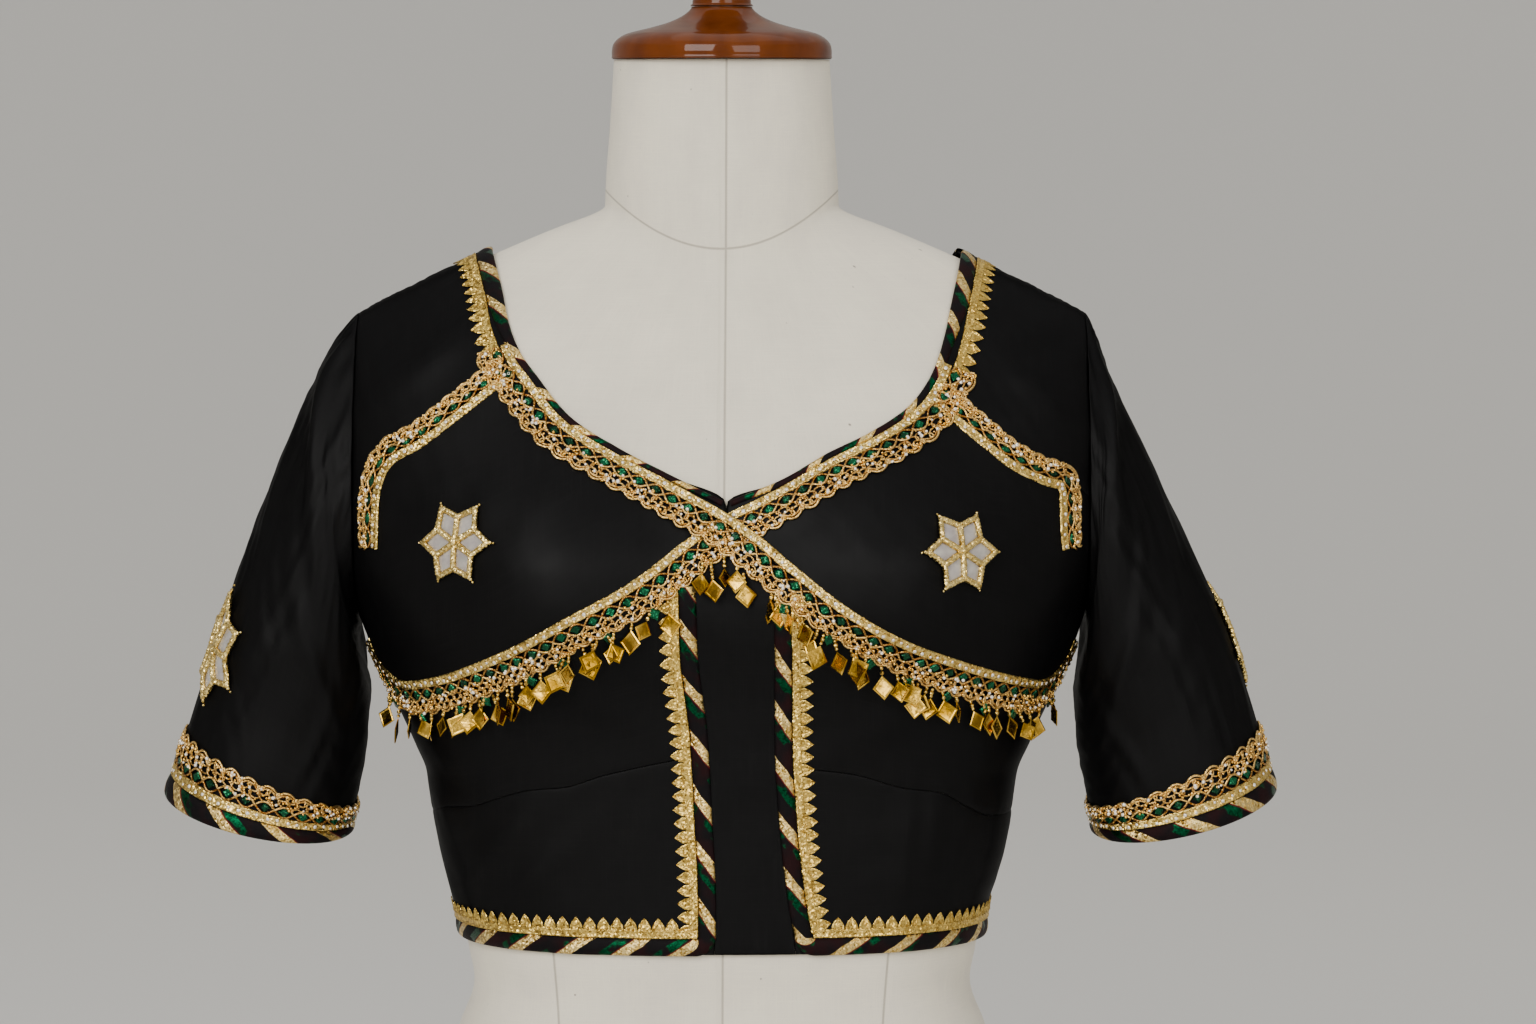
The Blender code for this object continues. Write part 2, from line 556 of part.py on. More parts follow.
def wide_laces(lace):
    """Two laces that follow the neckline, cross in the middle and go on under the other cup to the
    side, and one over the top of each cup."""
    for way, name in ((-1, "crossing_lace_over"), (1, "crossing_lace_under")):
        path = crossing_path(way, SCALLOP_PITCH)
        inner = np.interp((path[:, 0] - CENTRE) * -way, [-12, 22], [2.8, 0.0])
        edged(name, path, inner, inner + LACE - SCALLOP, inner + LACE, 1.4, lace, way, raised(way, path))
    for way, word, line in ((-1, "left", LACE_OVER_CUP_LEFT), (1, "right", LACE_OVER_CUP_RIGHT)):
        path = front_path(line, SCALLOP_PITCH)
        flat = np.ones(len(path))
        half = CUP_LACE / 2
        edged(f"cup_lace_{word}", path, -half * flat, (half - SCALLOP) * flat, half * flat, 1.4, lace, way, LACE_LIFT)


def placket_trims(binding, braid):
    """A striped binding down each side of the placket and round the hem, with a toothed braid."""
    for way, word, line in ((-1, "left", PLACKET_LEFT), (1, "right", PLACKET_RIGHT)):
        x, top = line[-1][0], (line[1][0], PLACKET_TRIM_TOP)
        bend = [(x + way * CORNER * (1 - math.cos(a)), HEM + CORNER * (1 - math.sin(a))) for a in np.radians([0, 22, 45, 68, 90])]
        down = front_path([top] + [p for p in line[2:-1] if p[1] > HEM + 20] + [bend[0]], 13)
        corner = on_body(*np.array(bend[1:]).T, FRONT)
        around = ring_path(way, bend[-1][0], 1.0, 11)
        path = np.vstack([down, corner, around[1:]])
        strip(f"placket_binding_{word}", path, np.tile([0.2, BINDING], (len(path), 1)), 1.0, binding, way)
        upright = front_path([top] + line[2:-1] + [(x, HEM + BINDING + BRAID + SEAM + 0.8)], TOOTH_PITCH)
        braided(f"placket_picot_{word}", upright, braid, way)
        hem = ring_path(way, x + way * (BINDING + SEAM), 1.0, TOOTH_PITCH)
        braided(f"hem_picot_{word}", hem, braid, way, bare=2)
    for name, pitch in (("hem_binding_back", 13), ("hem_picot_back", TOOTH_PITCH)):
        path = ring_path(1, 0.0, 1.0, pitch, BACK)
        path = np.vstack([path[:0:-1] * (-1, 1, 1), path])
        if name == "hem_binding_back":
            strip(name, path, np.tile([0.2, BINDING], (len(path), 1)), 1.0, binding, -1)
        else:
            braided(name, path, braid, -1)


def ring_path(way, start, share, pitch, side=FRONT):
    """Points round the hem from x = start out to a share of the half width, which at the side seam
    stops short of it by half a seam."""
    width = float(half_width(HEM))
    limit = math.pi / 2 - SEAM / 2 / (width * 0.6)
    angles = np.linspace(math.asin(start / width), way * min(math.asin(share), limit), 400)
    p = on_body(width * np.sin(angles), np.full(400, HEM), side)
    gone = distance(p)
    at = np.linspace(0, gone[-1], max(2, round(gone[-1] / pitch) + 1))
    return np.stack([np.interp(at, gone, p[:, k]) for k in range(3)], -1)


def stars(look):
    """Six-pointed applique stars, two on the cups and one on the outer side of each sleeve."""
    turns = np.radians(np.arange(0, 360, 30))
    far = np.where(np.arange(12) % 2, STAR_NOTCH, STAR_REACH)
    for name, (x, z, tilt) in CUP_STARS.items():
        middle = on_body(x, z, FRONT)
        out = outward(middle)
        east = np.cross([0, 0, 1.0], out) / np.linalg.norm(np.cross([0, 0, 1.0], out))
        north = np.cross(out, east)
        angle = turns + math.radians(tilt)
        rim = middle + far[:, None] * (np.cos(angle)[:, None] * east + np.sin(angle)[:, None] * north)
        rings = np.stack([middle + (rim - middle) * share for share in STAR_RINGS])
        grid = onto_body(rings)
        star(name, laid(grid, LIFT + 1.3), out, look)
    for name, (way, down, turn, tilt) in SLEEVE_STARS.items():
        angle = turns + math.radians(tilt)
        shares = np.array(STAR_RINGS)[:, None]
        downs = down - shares * far * np.sin(angle) / SLEEVE_LENGTH
        rounds = math.radians(turn) + shares * far * np.cos(angle) / (SLEEVE_GIRTH / 2 / math.pi)
        grid = sleeve_laid(way, downs, rounds, np.full(downs.shape, LACE_LIFT + 2.2))
        star(name, grid, sleeve_out(way, np.array(down), np.array(math.radians(turn))), look)


def star(name, grid, out, look):
    """Rings of points from the middle out to a star's edge, made a closed plate."""
    made = sheet(name, grid, 1.3, look, np.broadcast_to(out, grid.shape), ring=True)
    shape = bmesh.new()
    shape.from_mesh(made.data)
    hole = sorted((e for e in shape.edges if e.is_boundary), key=lambda e: e.calc_length())[:12]
    bmesh.ops.contextual_create(shape, geom=hole)
    shape.to_mesh(made.data)
    shape.free()


def fringe(look):
    """Flat diamond plates on short links, hung from a narrow tape along the lower edge of the laces.

    The tape is a bar with four lines of points. Between every other pair of its stations the lower
    side is left open, and the link and the plate go on from that opening."""
    spin = np.random.default_rng(7)
    for way, word in ((-1, "left"), (1, "right")):
        path = crossing_path(-way, 1.0)
        path = path[(path[:, 0] * way > 36) & (path[:, 0] * way < 177)]
        gone = distance(path)
        count = int((gone[-1] - LINK) / PLATE_PITCH)
        stations = (np.arange(count + 1)[:, None] * PLATE_PITCH + [0, LINK]).reshape(-1)
        path = onto_body(np.stack([np.interp(stations, gone, path[:, k]) for k in range(3)], -1))
        bars = []
        for out, across in ((0, 0), (1, 0), (1, 1), (0, 1)):
            line = onto_body(path + beside(path, -way) * (LACE + SEAM + TAPE * across))
            bars.append(laid(line, LACE_LIFT + 1.6 * out))
        n = len(path)
        points = [p for bar in bars for p in bar]
        faces = [(0, n, 2 * n, 3 * n), (4 * n - 1, 3 * n - 1, 2 * n - 1, n - 1)]
        for k in range(n - 1):
            for a, b in ((0, 1), (1, 2), (3, 0)):
                faces.append((a * n + k, a * n + k + 1, b * n + k + 1, b * n + k))
            lower = (2 * n + k, 2 * n + k + 1, 3 * n + k + 1, 3 * n + k)
            if k % 2:
                faces.append(lower)
            else:
                turn, sway = spin.uniform(-30, 30), spin.uniform(-1, 1)
                faces += hang(points, lower, outward(path[k]), turn, sway, way)
        shape = bmesh.new()
        made = [shape.verts.new((p * MM).tolist()) for p in points]
        for face in faces:
            shape.faces.new([made[k] for k in face])
        keep(closed(f"fringe_{word}", shape, look))


def hang(points, root, out, turn, sway, way):
    """A link that goes straight down from the four root points, then widens into a diamond plate. It
    adds its points to the list, and returns its faces."""
    levels = [(LINK_LONG, LINK, LINK), (LINK_LONG + PLATE_TALL / 2, PLATE_WIDE, PLATE_THICK)]
    levels.append((LINK_LONG + PLATE_TALL, 1.4, PLATE_THICK))
    start = np.mean([points[k] for k in root], axis=0)
    facing = math.atan2(out[0], -out[1])
    faces, above = [], root
    for low, wide, deep in levels:
        angle = facing + math.radians(turn)
        cos, sin = math.cos(angle), math.sin(angle)
        middle = start + np.array([math.sin(facing), -math.cos(facing), 0]) * low * 0.3
        middle = middle + [sway * low * 0.05, 0, -low]
        level = []
        for x, y in ((-0.5 * way, -0.5), (0.5 * way, -0.5), (0.5 * way, 0.5), (-0.5 * way, 0.5)):
            x, y = x * wide, y * deep
            points.append(middle + [x * cos - y * sin, x * sin + y * cos, 0])
            level.append(len(points) - 1)
        faces += [(above[k], above[(k + 1) % 4], level[(k + 1) % 4], level[k]) for k in range(4)]
        above = level
    return faces + [tuple(above)]


def torso(look):
    """The limbless form: the body surface moved in, with flat arm plates and a flat foot."""
    inset = ARM_PLANE - FORM_CLEAR
    whole = QUARTER - ROUND_OVER + shoulder(0)
    rows = np.concatenate([np.linspace(0, QUARTER, 6), whole - np.array(FORM_LEVELS)]) / whole
    share = np.linspace(-1, 1, FORM_COLUMNS)[None, :]
    shape = bmesh.new()
    for side in (FRONT, BACK):
        x = 150 * share + 0 * rows[:, None]
        for _ in range(60):
            z = shoulder(x) - dropped(rows[:, None] * (QUARTER - ROUND_OVER + shoulder(x)))
            lean = np.abs(outward(on_body(x, z, side))[..., 0])
            most = np.minimum(1, (inset + FORM_CLEAR * lean) / half_width(z))
            x = half_width(z) * np.sin(np.arcsin(most) * share)
        grid = on_body(x, z, side)
        moved = grid - outward(grid) * FORM_CLEAR
        for column in (0, -1):
            flat = most[:, column] < 1
            moved[flat, column, 0] = share[0, column] * inset
            moved[~flat, column, 1] = 0.0
        moved[0, :, 1] = 0.0
        moved[-1, :, 2] = 0.0
        index = [[shape.verts.new((p * MM).tolist()) for p in row] for row in moved]
        for upper, lower in zip(index, index[1:]):
            for k in range(FORM_COLUMNS - 1):
                shape.faces.new([upper[k], upper[k + 1], lower[k + 1], lower[k]])
    bmesh.ops.remove_doubles(shape, verts=shape.verts, dist=1e-5)
    bmesh.ops.holes_fill(shape, edges=[e for e in shape.edges if e.is_boundary])
    return keep(closed("form", shape, look))


def form(cloth, wood):
    """The torso with its neck, and the turned cap and knob on it."""
    body = torso(cloth)
    shape = bmesh.new()
    turn = np.linspace(0, 2 * math.pi, TURNED_SIDES, endpoint=False)
    rings = []
    for z, wide, deep in NECK:
        rings.append([shape.verts.new((wide * math.cos(t) * MM, (NECK_BACK + deep * math.sin(t)) * MM, z * MM)) for t in turn])
    for low, high in zip(rings, rings[1:]):
        for k in range(len(turn)):
            shape.faces.new([low[k], low[k - 1], high[k - 1], high[k]])
    shape.faces.new(rings[0])
    shape.faces.new(rings[-1])
    neck = closed("neck", shape, cloth)
    neck.hide_render, neck.display_type = True, "WIRE"
    bpy.data.collections["helpers"].objects.link(neck)
    join = body.modifiers.new("neck", "BOOLEAN")
    join.operation, join.object = "UNION", neck
    turned("neck_cap", [(0, CAP_TOP)] + CAP + [(0, CAP_SEAT)], wood)
    turned("cap_knob", [(0, KNOB_TOP)] + KNOB + [(0, CAP_TOP + SEAM / 2)], wood)


def closed(name, shape, look):
    """The closed shape as an object, with its faces turned out."""
    bmesh.ops.recalc_face_normals(shape, faces=shape.faces)
    mesh = bpy.data.meshes.new(name)
    shape.to_mesh(mesh)
    shape.free()
    mesh.materials.append(look)
    return bpy.data.objects.new(name, mesh)


def turned(name, profile, look):
    """A turned piece: its profile runs down the outer side and is spun round the neck's middle."""
    mesh = bpy.data.meshes.new(name)
    points = [(r * MM, 0, z * MM) for r, z in profile]
    mesh.from_pydata(points, [(k, k + 1) for k in range(len(points) - 1)], [])
    mesh.materials.append(look)
    made = keep(bpy.data.objects.new(name, mesh))
    made.location.y = NECK_BACK * MM
    spin = made.modifiers.new("turned", "SCREW")
    spin.steps = spin.render_steps = TURNED_SIDES
    spin.use_merge_vertices = True
    spin.merge_threshold = 0.00001


def build():
    start()
    silk = material("black_silk", (0.012, 0.012, 0.014), 0.5)
    gold = material("gold_braid", (0.75, 0.52, 0.18), 0.35, 0.9)
    beads = material("beaded_lace", (0.62, 0.40, 0.18), 0.4, 0.7)
    stripes = material("striped_binding", (0.05, 0.10, 0.04), 0.5)
    shell = material("star_shell", (0.62, 0.60, 0.60), 0.3)
    plates = material("gold_plate", (0.80, 0.58, 0.20), 0.25, 1.0)
    linen = material("cream_linen", (0.68, 0.65, 0.60), 0.85)
    wood = material("lacquered_wood", (0.22, 0.07, 0.02), 0.2)
    body_panels(silk)
    sleeves(silk, beads, stripes)
    neck_trims(stripes, gold)
    wide_laces(beads)
    placket_trims(stripes, gold)
    stars(shell)
    fringe(plates)
    form(linen, wood)


build()
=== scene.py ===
"""The looks of a choli blouse on a limbless dress form.

Everything lies on one surface, the figure that the blouse was cut for. Sizes are in millimetres, and
each point is turned into metres when its mesh is made. The front faces -Y, and left and right are as
seen from the front, so left is -X.
"""
import math

import bpy
import numpy as np
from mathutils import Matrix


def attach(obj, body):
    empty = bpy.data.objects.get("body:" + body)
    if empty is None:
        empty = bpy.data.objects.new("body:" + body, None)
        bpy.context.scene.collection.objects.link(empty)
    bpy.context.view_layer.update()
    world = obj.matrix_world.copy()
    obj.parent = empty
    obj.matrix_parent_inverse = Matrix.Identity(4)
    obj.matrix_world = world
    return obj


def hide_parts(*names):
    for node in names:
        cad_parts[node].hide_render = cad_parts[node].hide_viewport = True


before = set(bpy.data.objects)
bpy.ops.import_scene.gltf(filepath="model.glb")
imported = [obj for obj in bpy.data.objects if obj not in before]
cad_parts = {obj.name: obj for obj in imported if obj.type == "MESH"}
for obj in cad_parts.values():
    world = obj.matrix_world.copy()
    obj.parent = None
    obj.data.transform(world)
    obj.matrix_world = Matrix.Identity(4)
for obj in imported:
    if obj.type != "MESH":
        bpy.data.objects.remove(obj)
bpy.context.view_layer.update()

# The camera
# A long lens three metres in front of the form, a little above the bust, looking slightly down.
EYE = (0.024, -3.0, 0.676)
LENS, SENSOR = 135.2, 36.0
LOOK_DOWN = math.atan2(0.199, 3.0)

lens = bpy.data.cameras.new("camera")
lens.lens, lens.sensor_width = LENS, SENSOR
camera = bpy.data.objects.new("camera", lens)
camera.location = EYE
camera.rotation_euler = (math.pi / 2 - LOOK_DOWN, 0, 0)
bpy.context.scene.collection.objects.link(camera)
bpy.context.scene.camera = camera

# The figure
# The blouse was cut for one figure, and the form under it has the same shape, a little smaller.
# Its front and back are given by a half width and a depth at each height, with two soft mounds in
# front, and its top is rounded over along the shoulder line.
MM = 0.001
FRONT, BACK = -1, 1
# Rows: height, half width, depth in front of and behind the middle plane
FIGURE = [
    (0, 168, 104, 121), (40, 172, 108, 127), (90, 171, 108, 126), (140, 163, 104, 115),
    (180, 152, 99, 101), (212, 140, 95, 88), (233, 133, 93, 84), (250, 136, 95, 85),
    (270, 139, 96, 86), (290, 145, 97, 87), (307, 149, 98, 89), (327, 152, 99, 91),
    (342, 154, 100, 93), (356, 160, 101, 95), (385, 173, 103, 98), (411, 184, 106, 101),
    (432, 192, 108, 103), (453, 200, 108, 105), (480, 206, 103, 105), (512, 208, 92, 102),
    (545, 207, 78, 94), (579, 205, 64, 82), (613, 200, 48, 68), (650, 190, 40, 60),
]
# Rows: distance from the middle, height
SHOULDER = [(0, 648), (60, 637), (123, 613), (193, 579), (225, 560)]
ROUND_OVER = 75.0
QUARTER = ROUND_OVER * math.pi / 2
SQUARENESS = 0.27
BUST = dict(x=88.0, z=440.0, height=26.0, across=58.0, above=72.0, below=46.0)


def smooth(rows, column, at):
    """The column's value at each place: a cubic between each two rows, with slopes that are the
    harmonic mean of the steps beside a row, so that it never overshoots them."""
    xs, ys = np.array([row[0] for row in rows], float), np.array([row[column] for row in rows], float)
    step, slope = np.diff(xs), np.diff(ys) / np.diff(xs)
    one, two = 2 * step[1:] + step[:-1], step[1:] + 2 * step[:-1]
    same = slope[:-1] * slope[1:] > 0
    safe = np.where(same, slope[:-1], 1), np.where(same, slope[1:], 1)
    inner = np.where(same, (one + two) / (one / safe[0] + two / safe[1]), 0)
    bend = np.concatenate([slope[:1], inner, slope[-1:]])
    at = np.clip(np.asarray(at, float), xs[0], xs[-1])
    k = np.clip(np.searchsorted(xs, at, side="right") - 1, 0, len(step) - 1)
    t = (at - xs[k]) / step[k]
    start = (2 * t**3 - 3 * t**2 + 1) * ys[k] + (t**3 - 2 * t**2 + t) * step[k] * bend[k]
    return start + (3 * t**2 - 2 * t**3) * ys[k + 1] + (t**3 - t**2) * step[k] * bend[k + 1]


def half_width(z):
    """Half the figure's width at a height."""
    return smooth(FIGURE, 1, z)


def shoulder(x):
    """The height of the shoulder line at a place across."""
    return smooth(SHOULDER, 1, np.abs(x))


def reach(x, z, side):
    """Depth at x, z before any rounding: the table's, and in front two mounds, each a bell curve
    across times a bell curve up and down."""
    fall = np.where(z > BUST["z"], BUST["above"], BUST["below"])
    mounds = sum(np.exp(-(((x + way * BUST["x"]) / BUST["across"]) ** 2)) for way in (-1, 1))
    front = smooth(FIGURE, 2, z) + BUST["height"] * np.exp(-(((z - BUST["z"]) / fall) ** 2)) * mounds
    return np.where(side == FRONT, front, smooth(FIGURE, 3, z))


def roundness(x, z):
    """Square of the share of its depth that the surface keeps: an ellipse across, made squarer, times
    a quarter circle under the shoulder line."""
    part = (x / half_width(z)) ** 2
    below = np.minimum((shoulder(x) - z) / ROUND_OVER, 1)
    return (1 - part) * (1 + SQUARENESS * part) ** 2 * (1 - (1 - below) ** 2)


def on_figure(x, z, side):
    """Points of the figure's front or back at these places across and heights."""
    x, z = np.asarray(x, float), np.asarray(z, float)
    return np.stack([x, side * reach(x, z, side) * np.sqrt(np.maximum(roundness(x, z), 0)), z], -1)


def outside(p):
    """Below zero inside the figure, zero on its surface, above zero outside."""
    x, y, z = np.moveaxis(p, -1, 0)
    return (y / reach(x, z, np.where(y < 0, FRONT, BACK))) ** 2 - roundness(x, z)


def steepest(p):
    """The direction in which outside() grows, and how fast, from its values on both sides."""
    step = 0.01 * np.eye(3)
    return np.stack([(outside(p + d) - outside(p - d)) / 0.02 for d in step], -1)


def unit(v):
    """Vectors of the same direction, one long."""
    return v / np.maximum(np.linalg.norm(v, axis=-1, keepdims=True), 1e-9)


def outward(p):
    """The direction that points straight out of the figure at each point."""
    return unit(steepest(p))


def onto_figure(p, steps=5):
    """The points moved straight in or out on to the surface, by a few of Newton's steps."""
    for _ in range(steps):
        slope = steepest(p)
        p = p - slope * (outside(p) / np.sum(slope**2, axis=-1))[..., None]
    return p


# The dress form
# A padded shell covered in cream linen, sewn in gores, with seams down the middle and the bust
# lines and one round the base of the neck. Pins have left small holes in it.
ARM_PLANE = 189.0
FORM_CLEAR = 3.4
# Rows: height, half width, half depth
NECK = [(590, 57, 49), (625, 61, 52), (645, 60.5, 52), (680, 58, 51), (712, 56, 50)]
NECK_BACK = 7.0
NECK_BLEND = 15.0
NECK_TOP = 712.0
LINEN = (0.785, 0.725, 0.585)


def hold(name, points, faces, look, slot, uv=None, smooth_faces=True):
    """A mesh object at the origin from points in millimetres. uv holds a place for each point."""
    mesh = bpy.data.meshes.new(name)
    mesh.from_pydata((points * MM).tolist(), [], faces.tolist() if hasattr(faces, "tolist") else faces)
    mesh.materials.append(look)
    if uv is not None:
        loops = np.empty(len(mesh.loops), np.int32)
        mesh.loops.foreach_get("vertex_index", loops)
        mesh.uv_layers.new(name="cloth").data.foreach_set("uv", uv[loops].astype(np.float32).ravel())
    if smooth_faces:
        mesh.shade_smooth()
    made = bpy.data.objects.new(name, mesh)
    bpy.context.scene.collection.objects.link(made)
    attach(made, "root")
    return made


def quads(rows, columns, ring=False):
    """Corner numbers of the faces of a grid, anticlockwise where columns run right and rows run up."""
    index = np.arange(rows * columns).reshape(rows, columns)
    if ring:
        index = np.hstack([index, index[:, :1]])
    return np.stack([index[:-1, :-1], index[:-1, 1:], index[1:, 1:], index[1:, :-1]], -1).reshape(-1, 4)


def material(name, roughness, metallic=0.0, **sockets):
    """A new material and its Principled shader, with these sockets set."""
    made = bpy.data.materials.new(name)
    made.use_nodes = True
    shader = made.node_tree.nodes["Principled BSDF"]
    shader.inputs["Roughness"].default_value = roughness
    shader.inputs["Metallic"].default_value = metallic
    for socket, value in sockets.items():
        shader.inputs[socket.replace("_", " ")].default_value = value
    return made, shader


def node(tree, kind, **settings):
    """A shader node. A setting that names an input sets its value or, from a socket, links it."""
    made = tree.nodes.new(kind)
    for name, value in settings.items():
        key = int(name[1:]) if name[0] == "i" and name[1:].isdigit() else name.replace("_", " ")
        if isinstance(key, str) and key not in made.inputs:
            setattr(made, name, value)
        elif isinstance(value, bpy.types.NodeSocket):
            tree.links.new(value, made.inputs[key])
        else:
            made.inputs[key].default_value = value
    return made


def sums(tree, operation, one, two=0.0, three=0.0):
    """The output of a Math node."""
    made = node(tree, "ShaderNodeMath", operation=operation, i0=one, i1=two)
    if operation in ("MULTIPLY_ADD", "COMPARE", "WRAP", "SMOOTH_MIN"):
        if isinstance(three, bpy.types.NodeSocket):
            tree.links.new(three, made.inputs[2])
        else:
            made.inputs[2].default_value = three
    return made.outputs[0]


def shades(tree, share, low, high):
    """A colour between two, by a share from 0 to 1."""
    made = node(tree, "ShaderNodeMix", data_type="RGBA")
    tree.links.new(share, made.inputs["Factor"])
    for socket, colour in ((6, low), (7, high)):
        if isinstance(colour, bpy.types.NodeSocket):
            tree.links.new(colour, made.inputs[socket])
        else:
            made.inputs[socket].default_value = (*colour, 1)
    return made.outputs[2]


def ramp(tree, value, low, high, start=0.0, end=1.0):
    """The value mapped from low..high to start..end, and kept there."""
    made = node(tree, "ShaderNodeMapRange", Value=value)
    for socket, number in zip(("From Min", "From Max", "To Min", "To Max"), (low, high, start, end)):
        made.inputs[socket].default_value = number
    return made.outputs[0]


def plain_weave():
    """A node group for woven cloth. Place is in millimetres on the cloth, with the warp up.

    Height is the larger of two rows of crossing threads, each raised where it passes over the other,
    with thicker slubs here and there. Shade is painted light from that height: lighter on raised
    threads and slubs, darker in the hollows between threads."""
    tree = bpy.data.node_groups.new("plain_weave", "ShaderNodeTree")
    kinds = {"Place": "NodeSocketVector", "Thread": "NodeSocketFloat", "Slub": "NodeSocketFloat"}
    for name, kind in kinds.items():
        tree.interface.new_socket(name=name, in_out="INPUT", socket_type=kind)
    for name in ("Height", "Shade"):
        tree.interface.new_socket(name=name, in_out="OUTPUT", socket_type="NodeSocketFloat")
    given = tree.nodes.new("NodeGroupInput")
    across = node(tree, "ShaderNodeSeparateXYZ", Vector=given.outputs["Place"])
    turns = [sums(tree, "DIVIDE", across.outputs[k], given.outputs["Thread"]) for k in (0, 1)]
    waves = [sums(tree, "SINE", sums(tree, "MULTIPLY", turn, math.pi)) for turn in turns]
    over = sums(tree, "MULTIPLY", waves[0], waves[1])
    humps = [sums(tree, "ABSOLUTE", wave) for wave in waves]
    weft = sums(tree, "MULTIPLY", humps[1], sums(tree, "MULTIPLY_ADD", over, 0.5, 0.5))
    warp = sums(tree, "MULTIPLY", humps[0], sums(tree, "MULTIPLY_ADD", over, -0.5, 0.5))
    threads = sums(tree, "MAXIMUM", weft, warp)
    slubs = []
    for squeeze in ((0.02, 1.1, 1), (1.1, 0.02, 1)):
        place = node(tree, "ShaderNodeVectorMath", operation="MULTIPLY", i0=given.outputs["Place"], i1=squeeze)
        noise = node(tree, "ShaderNodeTexNoise", Vector=place.outputs[0], Scale=1.6, Detail=2.0, Roughness=0.5)
        slubs.append(ramp(tree, noise.outputs[0], 0.5, 0.72))
    slub = sums(tree, "MULTIPLY", sums(tree, "MAXIMUM", slubs[0], slubs[1]), given.outputs["Slub"])
    out = tree.nodes.new("NodeGroupOutput")
    tree.links.new(sums(tree, "ADD", threads, slub), out.inputs["Height"])
    # Painted light: raised threads and slubs are lighter, the hollows between threads darker.
    shade = sums(tree, "MULTIPLY_ADD", threads, 0.35, sums(tree, "ADD", slub, 0.65))
    tree.links.new(shade, out.inputs["Shade"])
    return tree


weave_group = plain_weave()


def woven(look, place, thread, slub):
    """The weave group placed in a material."""
    tree = look.node_tree
    made = node(tree, "ShaderNodeGroup", node_tree=weave_group)
    tree.links.new(place, made.inputs["Place"])
    made.inputs["Thread"].default_value = thread
    made.inputs["Slub"].default_value = slub
    return made.outputs["Height"], made.outputs["Shade"]


def raise_by(tree, shader, height, distance, strength=1.0):
    """A Bump node from a height to the shader's normal."""
    bump = node(tree, "ShaderNodeBump", Strength=strength, Distance=distance * MM, Height=height)
    tree.links.new(bump.outputs[0], shader.inputs["Normal"])


def cream_linen():
    """Linen with the form's pressed seams, faint stains and pin holes. A seam is a shallow groove with
    painted shade in it: a narrow dark line where the distance from its curve is under half a millimetre.
    The hollows of the weave are painted a little darker, as shade."""
    look, shader = material("cream_linen", 0.85, Sheen_Weight=0.15)
    tree = look.node_tree
    place = node(tree, "ShaderNodeUVMap", uv_map="cloth").outputs[0]
    height, shade = woven(look, place, 0.55, 0.5)
    spot = node(tree, "ShaderNodeSeparateXYZ", Vector=node(tree, "ShaderNodeTexCoord").outputs["Object"])
    x, y, z = (sums(tree, "MULTIPLY", spot.outputs[k], 1000.0) for k in range(3))
    lines = [sums(tree, "SUBTRACT", x, sums(tree, "MULTIPLY", z, 0.004))]
    bow = sums(tree, "MULTIPLY", sums(tree, "MULTIPLY", x, x), 29 / 60**2)
    lines.append(sums(tree, "SUBTRACT", z, sums(tree, "ADD", bow, 615.0)))
    reach_out = sums(tree, "ABSOLUTE", x)
    gore = sums(tree, "MULTIPLY_ADD", sums(tree, "SINE", sums(tree, "MULTIPLY", z, 0.011)), -8.0, 88.0)
    lines.append(sums(tree, "SUBTRACT", reach_out, gore))
    near = [ramp(tree, sums(tree, "ABSOLUTE", line), 0.25, 0.85, 1.0, 0.0) for line in lines]
    near[2] = sums(tree, "MULTIPLY", near[2], ramp(tree, z, 470, 480, 1.0, 0.0))
    seam = sums(tree, "MAXIMUM", sums(tree, "MAXIMUM", near[0], near[1]), near[2])
    cells = node(tree, "ShaderNodeTexVoronoi", Vector=place, Scale=0.045)
    pins = ramp(tree, cells.outputs["Distance"], 0.018, 0.034, 1.0, 0.0)
    blotch = node(tree, "ShaderNodeTexNoise", Vector=place, Scale=0.02, Detail=6.0, Roughness=0.62)
    flecks = node(tree, "ShaderNodeTexNoise", Vector=place, Scale=0.5, Detail=3.0, Roughness=0.6)
    base = shades(tree, ramp(tree, blotch.outputs[0], 0.35, 0.7), LINEN, (0.69, 0.635, 0.525))
    base = shades(tree, ramp(tree, flecks.outputs[0], 0.62, 0.75, 0.0, 0.35), base, (0.50, 0.45, 0.385))
    # Painted shade in the hollows between the threads of the weave.
    base = shades(tree, ramp(tree, shade, 0.6, 1.1, 0.22, 0.0), base, (0.44, 0.41, 0.365))
    # The seam lines are painted shade in their grooves; the pin holes are dark dots.
    seam_shade_and_pin_holes = sums(tree, "MAXIMUM", sums(tree, "MULTIPLY", seam, 0.55), sums(tree, "MULTIPLY", pins, 0.8))
    tree.links.new(shades(tree, seam_shade_and_pin_holes, base, (0.17, 0.14, 0.11)), shader.inputs["Base Color"])
    dent = sums(tree, "SUBTRACT", height, sums(tree, "MULTIPLY", sums(tree, "MAXIMUM", seam, pins), 3.0))
    raise_by(tree, shader, dent, 0.12, 0.6)
    return look


def form_radius(z, turn):
    """How far the figure's surface is from the neck's middle line, at height z towards turn: halving
    the stretch in which outside() changes sign."""
    low, high = np.zeros(z.shape), np.full(z.shape, 240.0)
    for _ in range(40):
        middle = (low + high) / 2
        p = np.stack([middle * np.sin(turn), NECK_BACK - middle * np.cos(turn), z], -1)
        within = (outside(p) < 0) & (np.abs(p[..., 0]) < half_width(z))
        low, high = np.where(within, middle, low), np.where(within, high, middle)
    return low


